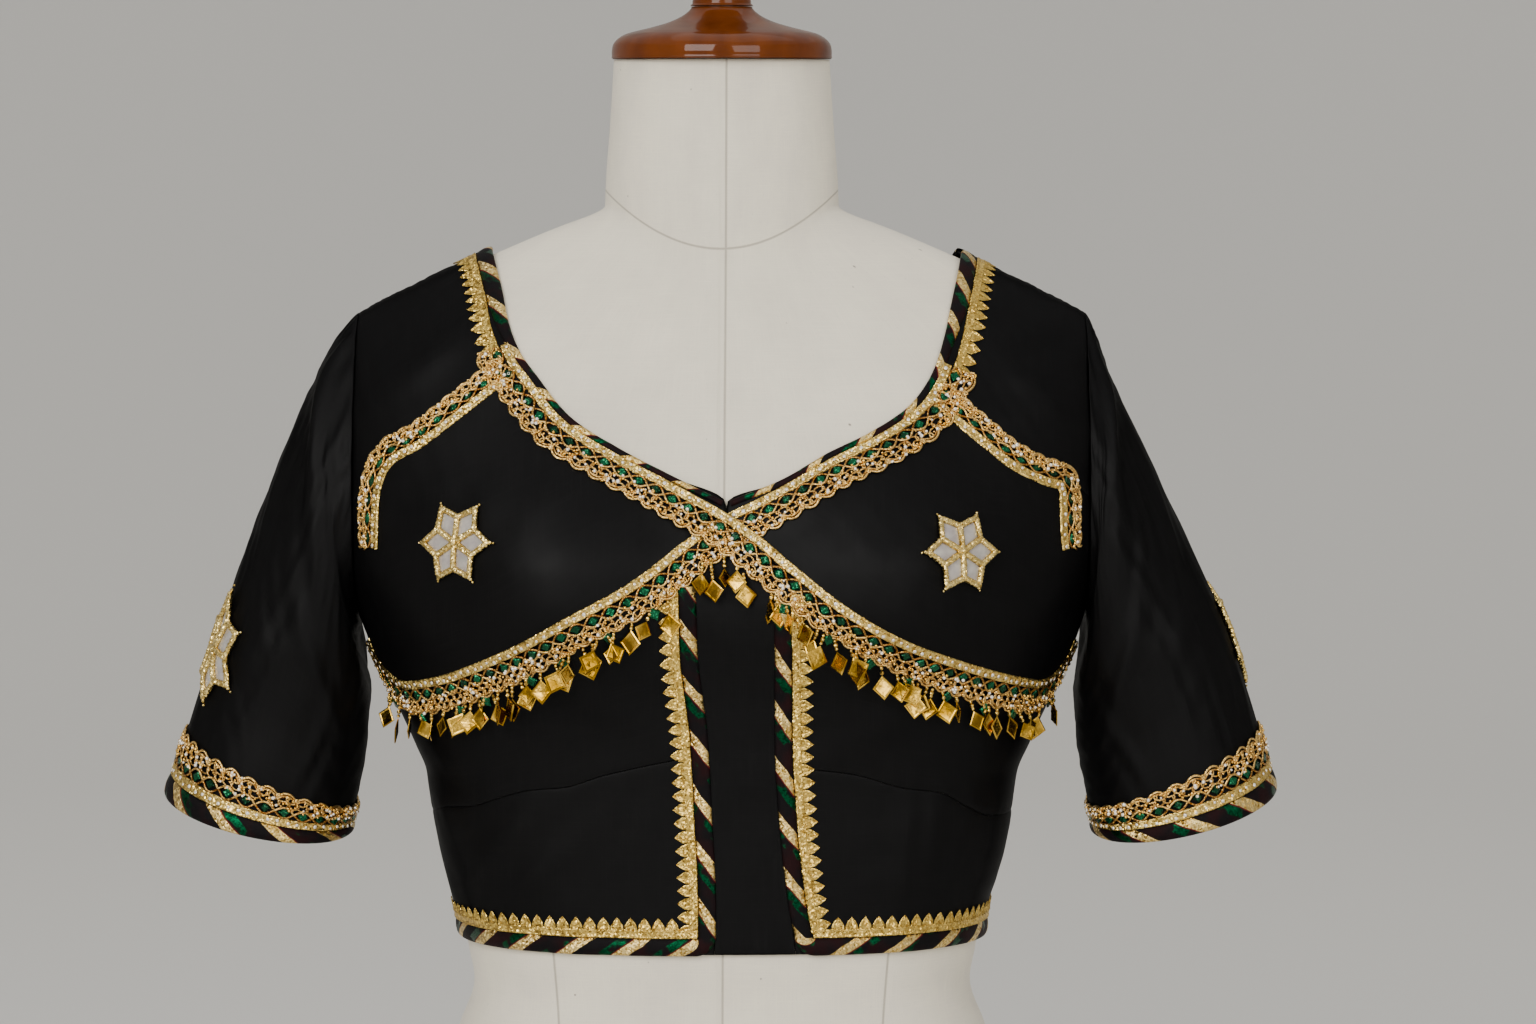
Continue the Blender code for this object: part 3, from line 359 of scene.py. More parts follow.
def dress_form(name, look):
    """Rings of points round the neck's middle line. Each is the figure's radius less the clearance,
    joined to the neck's ellipse by a rounded maximum and cut by the arm plates."""
    spans = ((0, 560, 130), (561, 662, 110), (664, NECK_TOP, 24))
    heights = np.concatenate([np.linspace(*span) for span in spans])
    turn, z = np.meshgrid(np.linspace(0, 2 * math.pi, 288, endpoint=False), heights)
    radius = form_radius(z, turn)
    p = np.stack([radius * np.sin(turn), NECK_BACK - radius * np.cos(turn), z], -1)
    solid = radius > 25
    p = np.where(solid[..., None], p - outward(np.where(solid[..., None], p, [60.0, -60, 400])) * FORM_CLEAR, p)
    p[0, :, 2] = 0.0
    z = p[..., 2]
    radius = np.where(solid, np.hypot(p[..., 0], p[..., 1] - NECK_BACK), 0)
    wide, deep = smooth(NECK, 1, z), smooth(NECK, 2, z)
    neck = 1 / np.hypot(np.sin(turn) / wide, np.cos(turn) / deep)
    plate = (ARM_PLANE - FORM_CLEAR) / np.maximum(np.abs(np.sin(turn)), 1e-6)
    radius = np.minimum(radius, plate)
    neck = np.where(z > 585, neck, 0)
    share = np.clip(0.5 + 0.5 * (radius - neck) / NECK_BLEND, 0, 1)
    radius = neck + (radius - neck) * share + NECK_BLEND * share * (1 - share) * (neck > 0)
    grid = np.stack([radius * np.sin(turn), NECK_BACK - radius * np.cos(turn), z], -1)
    rows, columns = z.shape
    faces = quads(rows, columns, ring=True).tolist()
    faces += [list(range(columns))[::-1], list(range((rows - 1) * columns, rows * columns))]
    uv = np.stack([turn * 120, z], -1).reshape(-1, 2)
    made = hold(name, grid.reshape(-1, 3), faces, look, "linen", uv)
    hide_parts("form")
    return made


dress_form("linen_form", cream_linen())

# The cap and the knob
# Turned from one kind of reddish wood, stained amber and lacquered to a high gloss. The cap closes
# the neck, and the knob is what the form is carried by.
# Profiles from the top down: radius, height. A point that is given twice makes a crisp edge
CAP_PROFILE = [
    (0, 739.6), (15.2, 739.6), (15.8, 739), (17.6, 737), (21.6, 734.2), (28, 731.4), (37, 728.8), (46, 726.6),
    (50.4, 725.2), (54, 723), (56.4, 720.2), (57.2, 717), (57.2, 714.2), (56.8, 712.7), (51, 712.3),
    (0, 712.3),
]
KNOB_PROFILE = [
    (0, 789.5), (6, 789.1), (12, 786.6), (17.2, 781.8), (20.2, 775), (20.4, 768), (18.4, 761.4), (15.4, 756),
    (14.2, 751), (14.6, 747), (15.1, 743.4), (15.3, 741.2), (15.2, 739.9), (0, 739.9),
]
WOOD_DARK, WOOD_AMBER = (0.055, 0.010, 0.0010), (0.17, 0.040, 0.0025)


def lacquered_wood():
    """Fine streaks with a little of a distorted wave, for growth rings, under a clear coat."""
    look, shader = material(
        "lacquered_wood", 0.36, Coat_Weight=0.45, Coat_Roughness=0.04, Specular_IOR_Level=0.03)
    tree = look.node_tree
    place = node(tree, "ShaderNodeMapping", Vector=node(tree, "ShaderNodeTexCoord").outputs["Object"])
    place.inputs["Rotation"].default_value = (0.35, 0.2, 0.0)
    place.inputs["Scale"].default_value = (1.0, 1.0, 0.45)
    rings = node(tree, "ShaderNodeTexWave", Vector=place.outputs[0], Scale=22.0, Distortion=5.0, Detail=3.0)
    rings.inputs["Detail Scale"].default_value = 1.4
    streaks = node(tree, "ShaderNodeTexNoise", Vector=place.outputs[0], Scale=60.0, Detail=5.0, Roughness=0.55)
    ringed = sums(tree, "MULTIPLY", rings.outputs[1], 0.14)
    mixed = sums(tree, "MULTIPLY_ADD", streaks.outputs[0], 0.8, ringed)
    base = shades(tree, ramp(tree, mixed, 0.1, 1.0), WOOD_DARK, WOOD_AMBER)
    tree.links.new(base, shader.inputs["Base Color"])
    raise_by(tree, shader, mixed, 0.03, 0.15)
    return look


def turned(name, profile, look, node_name, steps=112, fine=7):
    """A profile carried round the neck's middle line. It is rounded between its points by a
    Catmull-Rom curve: each stretch a cubic whose slopes come from the points on both sides."""
    rows = np.array(profile, float)
    ends = np.vstack([rows[:1], rows, rows[-1:]])
    t = np.linspace(0, 1, fine, endpoint=False)[None, :, None]
    a, b, c, d = ends[:-3, None], ends[1:-2, None], ends[2:-1, None], ends[3:, None]
    line = 0.5 * (2 * b + (c - a) * t + (2 * a - 5 * b + 4 * c - d) * t**2 + (3 * b - a - 3 * c + d) * t**3)
    line = np.vstack([line.reshape(-1, 2)[1:], rows[-2:-1]])
    line = line[line[:, 0] > 1e-3]
    turn = np.linspace(0, 2 * math.pi, steps, endpoint=False)
    grid = np.stack([
        line[:, :1] * np.cos(turn), NECK_BACK + line[:, :1] * np.sin(turn), line[:, 1:] + 0 * turn], -1)
    points = np.vstack([grid.reshape(-1, 3), [(0, NECK_BACK, profile[0][1]), (0, NECK_BACK, profile[-1][1])]])
    faces = quads(len(line), steps, ring=True)[:, ::-1].tolist()
    top, low = len(points) - 2, (len(line) - 1) * steps
    faces += [[k, (k + 1) % steps, top] for k in range(steps)]
    faces += [[low + (k + 1) % steps, low + k, top + 1] for k in range(steps)]
    made = hold(name, points, faces, look, "wood")
    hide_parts(node_name)
    return made


wood = lacquered_wood()
turned("wood_cap", CAP_PROFILE, wood, "neck_cap")
turned("wood_knob", KNOB_PROFILE, wood, "cap_knob")

# The silk panels
# Black plain-woven silk with a soft sheen, cut as two yokes, two cups, four midriff pieces, a placket
# panel and two backs. The pieces are sewn edge to edge, so the cloth dips a little at each seam.
CLOTH = 1.2
SEAM = 0.04
SEAM_DIP, SEAM_DIP_WIDTH = 0.45, 1.6
PUCKER = 0.28
UNDERARM, HEM, CENTRE = 426.0, 258.0, 3.0
SILK = (0.0016, 0.00155, 0.0017)
NECK_LEFT = [(-120, 615), (-113, 593), (-109, 577), (-103, 563)]
NECK_RIGHT = [(125, 612.6), (119, 588), (114, 568), (108, 552)]
V_LEFT = [(-103, 563), (-94, 551), (-77, 531), (-53, 516), (-26, 502), (CENTRE, 488)]
V_RIGHT = [(108, 552), (97, 537), (76, 523), (55, 513), (30, 499), (CENTRE, 488)]
CUP_TOP_LEFT = [(-103, 563), (-125, 543), (-150, 524), (-172, 510), (-182, 497), (-ARM_PLANE, 485)]
CUP_TOP_RIGHT = [(108, 552), (118, 537), (138, 520), (158, 504), (176, 500), (ARM_PLANE, 488)]
UNDER_BUST_LEFT = [
    (CENTRE, 468), (-16, 461), (-48, 441), (-78, 425), (-102, 411), (-126, 399), (-145, 391), (-163, 387)]
UNDER_BUST_RIGHT = [
    (CENTRE, 468), (22, 461), (40, 449), (62, 432), (94, 413), (130, 398), (150, 391), (166, 387)]
UNDER_BUST_SIDE, UNDER_BUST_TURN = 418.0, 398.0
PLACKET_LEFT = [(-13, 461.2), (-12, 413), (-7, 369), (-5, 330), (-3, 284), (-3, HEM)]
PLACKET_RIGHT = [(27, 457.2), (28, 413), (28, 369), (30, 330), (35, 284), (38, HEM)]
PLACKET_TOP = 467.0
WAIST_SEAM_LEFT = [
    (-6.3, 361), (-41, 354), (-61, 349), (-79, 343), (-97, 341), (-113, 336), (-129, 330), (-141, 328)]
WAIST_SEAM_RIGHT = [(28.5, 355), (67, 350), (94, 342), (112, 339), (125, 331), (138, 324)]
WAIST_SEAM_SIDE = 322.0
BACK_NECK = [(CENTRE, 535), (40, 539), (75, 552), (100, 575), (115, 598), (122.5, 613.8)]
# Folds: side, x, z, lean in degrees, half length, half width, height
FOLDS = [
    (-1, -118, 303, 55, 34, 8, 2.4), (-1, -96, 296, 48, 30, 7, 1.6), (-1, -60, 386, -32, 36, 9, 1.4),
    (-1, 94, 312, 86, 26, 6, 1.8), (-1, 108, 318, 82, 24, 6, 2.0), (-1, 122, 306, 78, 26, 6, 1.6),
    (-1, 76, 372, 25, 34, 9, 1.4), (-1, -152, 556, 38, 30, 9, 2.4), (-1, 158, 548, -42, 32, 9, 2.4),
    (1, -60, 380, 20, 40, 9, 1.8), (1, 64, 352, -24, 40, 9, 1.8), (1, -104, 440, 58, 36, 9, 2.0),
    (1, 108, 452, -60, 36, 9, 2.0), (1, -90, 300, 40, 34, 8, 1.8), (1, 84, 296, -44, 32, 8, 1.8),
]


def black_silk():
    """Near-black silk with painted light: the slubs and raised threads are painted a little lighter and
    the hollows between threads darker. A slow noise varies the gloss as handling does. The gloss fades
    where the cloth turns away, as it does on a dull warp."""
    look, shader = material("black_silk", 0.5)
    tree = look.node_tree
    place = node(tree, "ShaderNodeUVMap", uv_map="cloth").outputs[0]
    height, shade = woven(look, place, 0.42, 0.35)
    cloud = node(tree, "ShaderNodeTexNoise", Vector=place, Scale=0.03, Detail=5.0, Roughness=0.6)
    # Painted light from the weave: lighter on slubs and raised threads, darker in the hollows.
    base = shades(tree, ramp(tree, shade, 0.7, 1.5), SILK, (0.0055, 0.0053, 0.0056))
    tree.links.new(base, shader.inputs["Base Color"])
    tree.links.new(ramp(tree, cloud.outputs[0], 0.3, 0.7, 0.40, 0.52), shader.inputs["Roughness"])
    away = node(tree, "ShaderNodeLayerWeight", Blend=0.5).outputs["Facing"]
    tree.links.new(ramp(tree, away, 0.1, 0.6, 0.085, 0.008), shader.inputs["Specular IOR Level"])
    raise_by(tree, shader, height, 0.06, 0.45)
    return look


def fold_height(p):
    """How far the folds lift the cloth: for each row, a bell curve along it times one across it."""
    total = np.zeros(p.shape[:-1])
    for side, x, z, lean, half_length, narrow, height in FOLDS:
        cos, sin = math.cos(math.radians(lean)), math.sin(math.radians(lean))
        dx, dz = p[..., 0] - x, p[..., 2] - z
        along, across = dx * cos + dz * sin, dz * cos - dx * sin
        here = height * np.exp(-((along / half_length) ** 2) - (across / narrow) ** 2)
        total += np.where(side * p[..., 1] > 0, here, 0)
    return total


def rumple(a, b):
    """Soft uneven creases: sines in slanting directions, bent by slower sines and fading in and out."""
    bent = 1.6 * np.sin(0.031 * a + 0.017 * b) + 1.2 * np.sin(0.023 * b - 0.011 * a + 2)
    slow = 0.5 + 0.5 * np.sin(0.029 * a - 0.034 * b + 0.8 * bent)
    large = np.sin(0.085 * a + 0.060 * b + 1.7 * bent) * slow
    small = np.sin(0.21 * b - 0.15 * a + 2.6 * bent) * (1 - slow) ** 2
    return 0.42 * large + 0.20 * small + 0.07 * np.sin(0.55 * a + 0.31 * b + 3 * bent)


def laid(p, out):
    """Points of the surface moved out by this much over the cloth, with its folds and creases."""
    lift = np.asarray(out) + fold_height(p) + rumple(p[..., 0] + 40 * np.sign(p[..., 1]), p[..., 2])
    return p + outward(p) * lift[..., None]


def chart(x, z):
    """Where x, z lies on a flat chart: the angle round the figure, and the way down over the cloth
    from the shoulder line, which follows a quarter circle at the top."""
    drop = shoulder(x) - z
    arc = ROUND_OVER * np.arccos(1 - np.clip(drop / ROUND_OVER, 0, 1))
    return np.stack([np.arcsin(np.clip(x / half_width(z), -1, 1)), arc + np.maximum(drop - ROUND_OVER, 0)], -1)


def from_chart(places, side):
    """The surface points of these places on the chart, by repeating its formula backwards."""
    angle, down = np.moveaxis(places, -1, 0)
    drop = ROUND_OVER * (1 - np.cos(np.minimum(down, QUARTER) / ROUND_OVER)) + np.maximum(down - QUARTER, 0)
    x = 150 * np.sin(angle)
    for _ in range(40):
        z = shoulder(x) - drop
        x = half_width(z) * np.sin(angle)
    return on_figure(x, z, side)


def eased(count):
    """Shares from 0 to 1, close together near both ends, where a seam dips."""
    near = np.array([0, 0.006, 0.014, 0.026])
    return np.concatenate([near, np.linspace(0.045, 0.955, count), 1 - near[::-1]])


def curve(points, shares, side=FRONT):
    """x, z places at these shares of a smooth line through the points, measured over the cloth."""
    points = np.array(points, float)
    steps = np.concatenate([[0], np.cumsum(np.linalg.norm(np.diff(points, axis=0), axis=1))])
    rows = np.column_stack([steps, points])
    fine = np.linspace(0, steps[-1], 600)
    place = np.stack([smooth(rows, 1, fine), smooth(rows, 2, fine)], -1)
    gone = distance(on_figure(place[:, 0], place[:, 1], side))
    at = np.interp(np.asarray(shares) * gone[-1], gone, fine)
    return np.stack([smooth(rows, 1, at), smooth(rows, 2, at)], -1)


def distance(path):
    """How far along the path each of its points is."""
    return np.concatenate([[0], np.cumsum(np.linalg.norm(np.diff(path, axis=0), axis=1))])


def measured(grid):
    """For each point of a grid, its distance in millimetres along its row and up its column."""
    along = np.linalg.norm(np.diff(grid, axis=1), axis=-1)
    up = np.linalg.norm(np.diff(grid, axis=0), axis=-1)
    u = np.hstack([np.zeros((len(grid), 1)), np.cumsum(along, axis=1)])
    v = np.vstack([np.zeros((1, grid.shape[1])), np.cumsum(up, axis=0)])
    return u, v


def walled(made, thick):
    """The sheet given its thickness, which grows inwards."""
    wall = made.modifiers.new("thickness", "SOLIDIFY")
    wall.thickness = thick * MM
    wall.offset = -1
    return made


def panel(name, bottom, top, left, right, side, node_names):
    """A panel between four seams, filled by blending them: the sum of the blends between each two
    facing seams, less the blend of the four corners. Its edges dip, with small puckers along the
    upper and lower seams: a sine that fades away from them."""
    u, v = eased(44)[None, :, None], eased(36)[:, None, None]
    seams = []
    for line, shares in ((bottom, u), (top, u), (left, v), (right, v)):
        line = line if isinstance(line, tuple) else (line,)
        parts = [curve(part, np.linspace(0, 1, 60), side) for part in line]
        seams.append(chart(*curve_through(np.vstack(parts), shares.ravel(), side).T))
    low, high, first, last = seams[0][None], seams[1][None], seams[2][:, None], seams[3][:, None]
    ends = (1 - u) * ((1 - v) * low[:, :1] + v * high[:, :1]) + u * ((1 - v) * low[:, -1:] + v * high[:, -1:])
    grid = from_chart((1 - v) * low + v * high + (1 - u) * first + u * last - ends, side)
    for axis, edge, inner in ((0, 0, 1), (0, -1, -2), (1, 0, 1), (1, -1, -2)):
        lines = np.moveaxis(grid, axis, 0)
        lines[edge] += unit(lines[inner] - lines[edge]) * SEAM / 2
    grid = onto_figure(grid)
    along, up = measured(grid)
    ends_near, seams_near = np.minimum(along, along[:, -1:] - along), np.minimum(up, up[-1:] - up)
    dip = SEAM_DIP * np.exp(-np.minimum(ends_near, seams_near) / SEAM_DIP_WIDTH)
    pucker = np.sin(0.85 * along + 2 * np.sin(0.11 * along))
    pucker = pucker * np.exp(-seams_near / 7) * np.clip(seams_near / 2, 0, 1)
    out = laid(grid, PUCKER * pucker - dip)
    faces = quads(*grid.shape[:2])
    if side == BACK:
        faces = faces[:, ::-1]
    if right_to_left(grid):
        faces = faces[:, ::-1]
    place = np.stack([out[..., 0] * 1.02, up + out[..., 2].min()], -1).reshape(-1, 2)
    made = walled(hold(name, out.reshape(-1, 3), faces, silk, "black_silk", place), CLOTH)
    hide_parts(*node_names)
    return made


def curve_through(places, shares, side):
    """The places at these shares of a row of close places, measured over the cloth."""
    gone = distance(on_figure(places[:, 0], places[:, 1], side))
    at = shares * gone[-1]
    return np.stack([np.interp(at, gone, places[:, k]) for k in (0, 1)], -1)


def right_to_left(grid):
    """The same grid seen from its other side, so that its faces still point outwards."""
    return grid[len(grid) // 2, -1, 0] < grid[len(grid) // 2, 0, 0]


def side_line(way, low, high, count=30):
    """Up the side of the figure: the side seam up to the underarm, and the armhole above it."""
    z = np.linspace(low, high, count)
    return list(zip(way * np.minimum(half_width(z), ARM_PLANE), z))


def under_bust(way):
    """The seam under a cup, from the middle to the side, where it turns up to the underarm."""
    turn = [(way * 0.983 * half_width(UNDER_BUST_TURN), UNDER_BUST_TURN)]
    turn.append((way * half_width(UNDER_BUST_SIDE), UNDER_BUST_SIDE))
    return (UNDER_BUST_LEFT if way < 0 else UNDER_BUST_RIGHT) + turn


def hem_line(way, start):
    """Along the hem from x = start to the side seam."""
    width = float(half_width(HEM))
    spread = np.linspace(math.asin(start / width), way * math.pi / 2, 60)
    return np.stack([width * np.sin(spread), np.full(60, HEM)], -1)


def shoulder_line(neck, way):
    """The points of the shoulder seam, from the neck to the armhole."""
    x = np.linspace(neck[0], way * ARM_PLANE, 30)
    return np.stack([x, shoulder(x)], -1)


silk = black_silk()
for way, word in ((-1, "left"), (1, "right")):
    neck, vee = (NECK_LEFT, V_LEFT) if way < 0 else (NECK_RIGHT, V_RIGHT)
    cup_top, placket = (CUP_TOP_LEFT, PLACKET_LEFT) if way < 0 else (CUP_TOP_RIGHT, PLACKET_RIGHT)
    waist = WAIST_SEAM_LEFT if way < 0 else WAIST_SEAM_RIGHT
    waist = waist + [(way * half_width(WAIST_SEAM_SIDE), WAIST_SEAM_SIDE)]
    tip = (way * ARM_PLANE, float(shoulder(ARM_PLANE)))
    panel(
        f"silk_yoke_{word}", cup_top, shoulder_line(neck[0], way), neck[::-1], [cup_top[-1], tip], FRONT,
        [f"yoke_{word}"])
    panel(
        f"silk_cup_{word}", under_bust(way), cup_top, [(CENTRE, 468)] + vee[::-1],
        side_line(way, UNDER_BUST_SIDE, cup_top[-1][1]), FRONT, [f"cup_{word}"])
    top_line = curve(under_bust(way), np.linspace(0, 1, 120))
    top_line = np.vstack([[placket[0]], top_line[way * top_line[:, 0] > way * placket[0][0] + 3]])
    panel(
        f"silk_midriff_upper_{word}", waist, top_line,
        [waist[0]] + [p for p in placket if p[1] > waist[0][1] + 1][::-1],
        side_line(way, WAIST_SEAM_SIDE, UNDER_BUST_SIDE), FRONT, [f"midriff_upper_{word}"])
    panel(
        f"silk_midriff_lower_{word}", hem_line(way, placket[-1][0]), waist,
        [p for p in placket if p[1] < waist[0][1] - 1][::-1] + [waist[0]],
        side_line(way, HEM, WAIST_SEAM_SIDE), FRONT, [f"midriff_lower_{word}"])
    scoop = [(CENTRE, BACK_NECK[0][1])] + [(way * x, z) for x, z in BACK_NECK[1:]]
    panel(
        f"silk_back_{word}", hem_line(way, CENTRE), shoulder_line(scoop[-1], way),
        ([(CENTRE, HEM), (CENTRE, 400), scoop[0]], scoop),
        (side_line(way, HEM, UNDERARM), [(way * ARM_PLANE, UNDERARM), tip]), BACK, [f"back_{word}"])
panel(
    "silk_placket", [PLACKET_LEFT[-1], (CENTRE + 10, HEM), PLACKET_RIGHT[-1]],
    [PLACKET_LEFT[0], (CENTRE, PLACKET_TOP), PLACKET_RIGHT[0]], PLACKET_LEFT[::-1], PLACKET_RIGHT[::-1],
    FRONT, ["placket_panel"])

# The sleeves
# Each is one tube of the same silk, eased into the armhole with small puckers and cut on a slant at
# the hem, lower in front. It hangs hollow, with soft drag lines towards the underarm.
SLEEVE_LENGTH, SLEEVE_GIRTH = 225.0, 285.0
# Rings: inner x and z, half depth, how far it sits behind the middle plane. The outer x and z of each
# ring differ between the sides, because the blouse hangs a little to the left
SLEEVE = [
    (189.3, 426, 60, 6), (190, 412, 60, 6), (187, 396, 58, 6), (184, 380, 54, 5), (185, 362, 50, 4),
    (187.5, 344, 46, 4), (191, 328, 43, 3), (194, 311, 41, 3),
]
SLEEVE_OUTER = {
    -1: [(189.3, 581), (206, 559), (215, 539), (233.5, 496), (250, 454), (264.5, 408), (277, 370), (291, 331)],
    1: [(189.3, 581), (198, 560), (205, 541), (227, 496), (246.5, 455), (265, 411), (278, 372), (289.5, 333)],
}
SLEEVE_HEM_DIP = 10.0
# Folds: place down the sleeve, angle round it from the top to the front, lean, half length, half
# width, height
SLEEVE_FOLDS = [
    (0.12, 35, 70, 34, 8, 2.6), (0.30, 62, 48, 40, 9, 2.8), (0.45, 30, 60, 38, 9, 2.0),
    (0.55, 100, 40, 34, 8, 2.2), (0.66, 55, -38, 30, 8, 1.8), (0.20, -40, -70, 34, 9, 2.4),
    (0.40, -80, -46, 40, 9, 2.6), (0.62, -50, -50, 32, 8, 2.0),
]


def armhole(angle):
    """Depth of the loop where the figure meets the plane of the armhole, by angle from its top."""
    top = float(shoulder(ARM_PLANE))
    z = (top + UNDERARM) / 2 + (top - UNDERARM) / 2 * np.cos(angle)
    side = np.where(np.sin(angle) >= 0, FRONT, BACK)
    return on_figure(np.full(z.shape, ARM_PLANE), z, side)[..., 1]


def sleeve_point(way, down, angle):
    """down runs from 0 at the armhole to 1 at the hem, and angle goes round from the top to the front.
    Each ring joins an outer and an inner point, and passes from the armhole's shape to an ellipse."""
    both = zip(SLEEVE_OUTER[way], SLEEVE)
    rows = [(k / (len(SLEEVE) - 1), *outer, *inner) for k, (outer, inner) in enumerate(both)]
    ox, oz, ix, iz, half_depth, behind = (smooth(rows, k, down) for k in range(1, 7))
    round_share = np.clip(down / 0.3, 0, 1) ** 0.8
    y = (1 - round_share) * armhole(angle) + round_share * (behind - half_depth * np.sin(angle))
    middle, spread = (1 + np.cos(angle)) / 2, np.clip((down - 0.5) / 0.5, 0, 1)
    x, z = ix + (ox - ix) * middle, iz + (oz - iz) * middle
    return np.stack([way * x, y, z - SLEEVE_HEM_DIP * spread**2 * np.sin(angle)], -1)


def sleeve_out(way, down, angle):
    """Straight out of a sleeve: across the directions in which down and angle grow."""
    step, inner = 1e-3, np.clip(down, 2e-3, 1 - 2e-3)
    grow = [
        sleeve_point(way, inner + a, angle + b) - sleeve_point(way, inner - a, angle - b)
        for a, b in ((step, 0), (0, step))]
    return unit(-way * np.cross(grow[0], grow[1]))


def sleeve_laid(way, down, angle, out):
    """A point of the sleeve's cloth moved out, with its folds, creases and the puckers of its head."""
    lift = np.zeros(np.broadcast(down, angle).shape)
    for at, turn, lean, half_length, narrow, height in SLEEVE_FOLDS:
        cos, sin = math.cos(math.radians(lean)), math.sin(math.radians(lean))
        off = (angle - math.radians(turn) + math.pi) % (2 * math.pi) - math.pi
        dx, dy = off * SLEEVE_GIRTH / 2 / math.pi, (down - at) * SLEEVE_LENGTH
        along, across = dx * cos + dy * sin, dy * cos - dx * sin
        lift = lift + height * np.exp(-((along / half_length) ** 2) - (across / narrow) ** 2)
    girth = SLEEVE_GIRTH / 2 * np.sin(angle / 2) ** 2 * 2
    lift = lift + 1.5 * rumple(girth * 1.3 + 30 * np.sin(angle) + 200 * way, down * SLEEVE_LENGTH)
    fades = np.exp(-((down / 0.07) ** 2))
    pucker = np.sin(angle * 23 + 2 * np.sin(3 * angle)) * fades * (0.5 + 0.5 * np.cos(angle))
    lift = (lift + 0.9 * pucker) * np.clip(down / 0.04, 0, 1) * np.clip((1 - down) / 0.2, 0, 1)
    return sleeve_point(way, down, angle) + sleeve_out(way, down, angle) * (lift + out)[..., None]


for way, word in ((-1, "left"), (1, "right")):
    downs, angles = np.meshgrid(eased(96), np.linspace(0, 2 * math.pi, 132, endpoint=False), indexing="ij")
    dip = -0.3 * np.exp(-downs * SLEEVE_LENGTH / SEAM_DIP_WIDTH)
    grid = sleeve_laid(way, downs, angles, dip)
    place = np.stack([angles * SLEEVE_GIRTH / 2 / math.pi, -downs * SLEEVE_LENGTH], -1).reshape(-1, 2)
    faces = quads(*downs.shape, ring=True)
    faces = faces if way > 0 else faces[:, ::-1]
    sleeve = walled(hold(f"silk_sleeve_{word}", grid.reshape(-1, 3), faces, silk, "black_silk", place), CLOTH)
    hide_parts(f"sleeve_{word}")

# The striped bindings
# A narrow bias strip of black and dark red silk with slanting stripes of gold glitter and emerald
# foil. It is folded over a filler cord, and covers the raw edges of neck, placket, hem and sleeves.
BINDING, BINDING_HIGH = 8.0, 1.5
STRIPE_PITCH, STRIPE_LEAN = 29.0, 1.5
CORNER = 10.0


def front_path(points, side=FRONT, pitch=1.0):
    """Surface points along a line through x, z places, spaced evenly over the cloth."""
    long = np.linalg.norm(np.diff(np.array(points, float), axis=0), axis=1).sum()
    return on_figure(*curve(points, np.linspace(0, 1, max(8, round(long / pitch))), side).T, side)


def hem_path(way, start, side=FRONT):
    """Surface points round the hem from x = start to the side seam."""
    width = float(half_width(HEM))
    angles = np.linspace(math.asin(start / width), way * (math.pi / 2 - 0.003), 160)
    return on_figure(width * np.sin(angles), np.full(160, HEM), side)


def follow(gone, values, along):
    """Values that are given along a path, read off at other lengths along it."""
    return np.stack([np.interp(along, gone, values[:, k]) for k in range(values.shape[1])], -1)


def body_bed(path, turn, inner=None, raised=None):
    """Turns a trim's own places (along it, across it, out from the cloth) into points on the body.

    across is measured to the left of the path as seen from outside, or to its right with turn -1.
    inner is how far in the trim starts, and raised how much higher it lies, at each path point."""
    gone = distance(path)
    side = unit(turn * np.cross(outward(path), np.gradient(path, axis=0)))
    start = np.zeros(len(path)) if inner is None else inner
    more = np.zeros(len(path)) if raised is None else raised

    def bed(along, across, out):
        along, across, out = np.broadcast_arrays(*(np.asarray(v, float) for v in (along, across, out)))
        past = (along - np.clip(along, 0, gone[-1]))[..., None]
        step = unit(follow(gone, np.gradient(path, axis=0), along))
        wide = (across + np.interp(along, gone, start))[..., None]
        p = onto_figure(follow(gone, path, along) + follow(gone, side, along) * wide + step * past)
        return laid(p, out + np.interp(along, gone, more)), outward(p)

    return bed, float(gone[-1])


def sleeve_bed(way, low):
    """The same for a trim round a sleeve, whose lower edge is low millimetres above the hem."""

    def bed(along, across, out):
        along, across, out = np.broadcast_arrays(*(np.asarray(v, float) for v in (along, across, out)))
        angle, down = along / SLEEVE_GIRTH * 2 * math.pi, 1 - (low + across) / SLEEVE_LENGTH
        return sleeve_laid(way, down, angle, out), sleeve_out(way, down, angle)

    return bed, SLEEVE_GIRTH


def band(bed, along, across, out):
    """A grid of a trim: rows along it, columns across it. Its map holds both in millimetres."""
    along, across = np.broadcast_arrays(along[:, None], across)
    points, _ = bed(along, across, out)
    faces = quads(*along.shape)
    middle = len(along) // 2
    normal = np.cross(points[middle, 1] - points[middle, 0], points[middle + 1, 0] - points[middle, 0])
    facing = bed(along[middle, 0], across[middle, 0], 0.0)[1]
    faces = faces[:, ::-1] if np.dot(normal, facing) < 0 else faces
    return points.reshape(-1, 3), faces, np.stack([along, across], -1).reshape(-1, 2)


def flaked(tree, shader, cells, amount, straight=None):
    """Leans the normal a different way in each cell of a Voronoi texture, as small flakes lie: the
    cell's colour, less a half, times the amount is added to the straight normal."""
    straight = straight or node(tree, "ShaderNodeNewGeometry").outputs["Normal"]
    colour = cells.outputs["Color"]
    centred = node(tree, "ShaderNodeVectorMath", operation="SUBTRACT", i0=colour, i1=(0.5, 0.5, 0.5))
    lean = node(tree, "ShaderNodeVectorMath", operation="SCALE", i0=centred.outputs[0], Scale=amount)
    leant = node(tree, "ShaderNodeVectorMath", operation="ADD", i0=straight, i1=lean.outputs[0])
    level = node(tree, "ShaderNodeVectorMath", operation="NORMALIZE", i0=leant.outputs[0])
    tree.links.new(level.outputs[0], shader.inputs["Normal"])


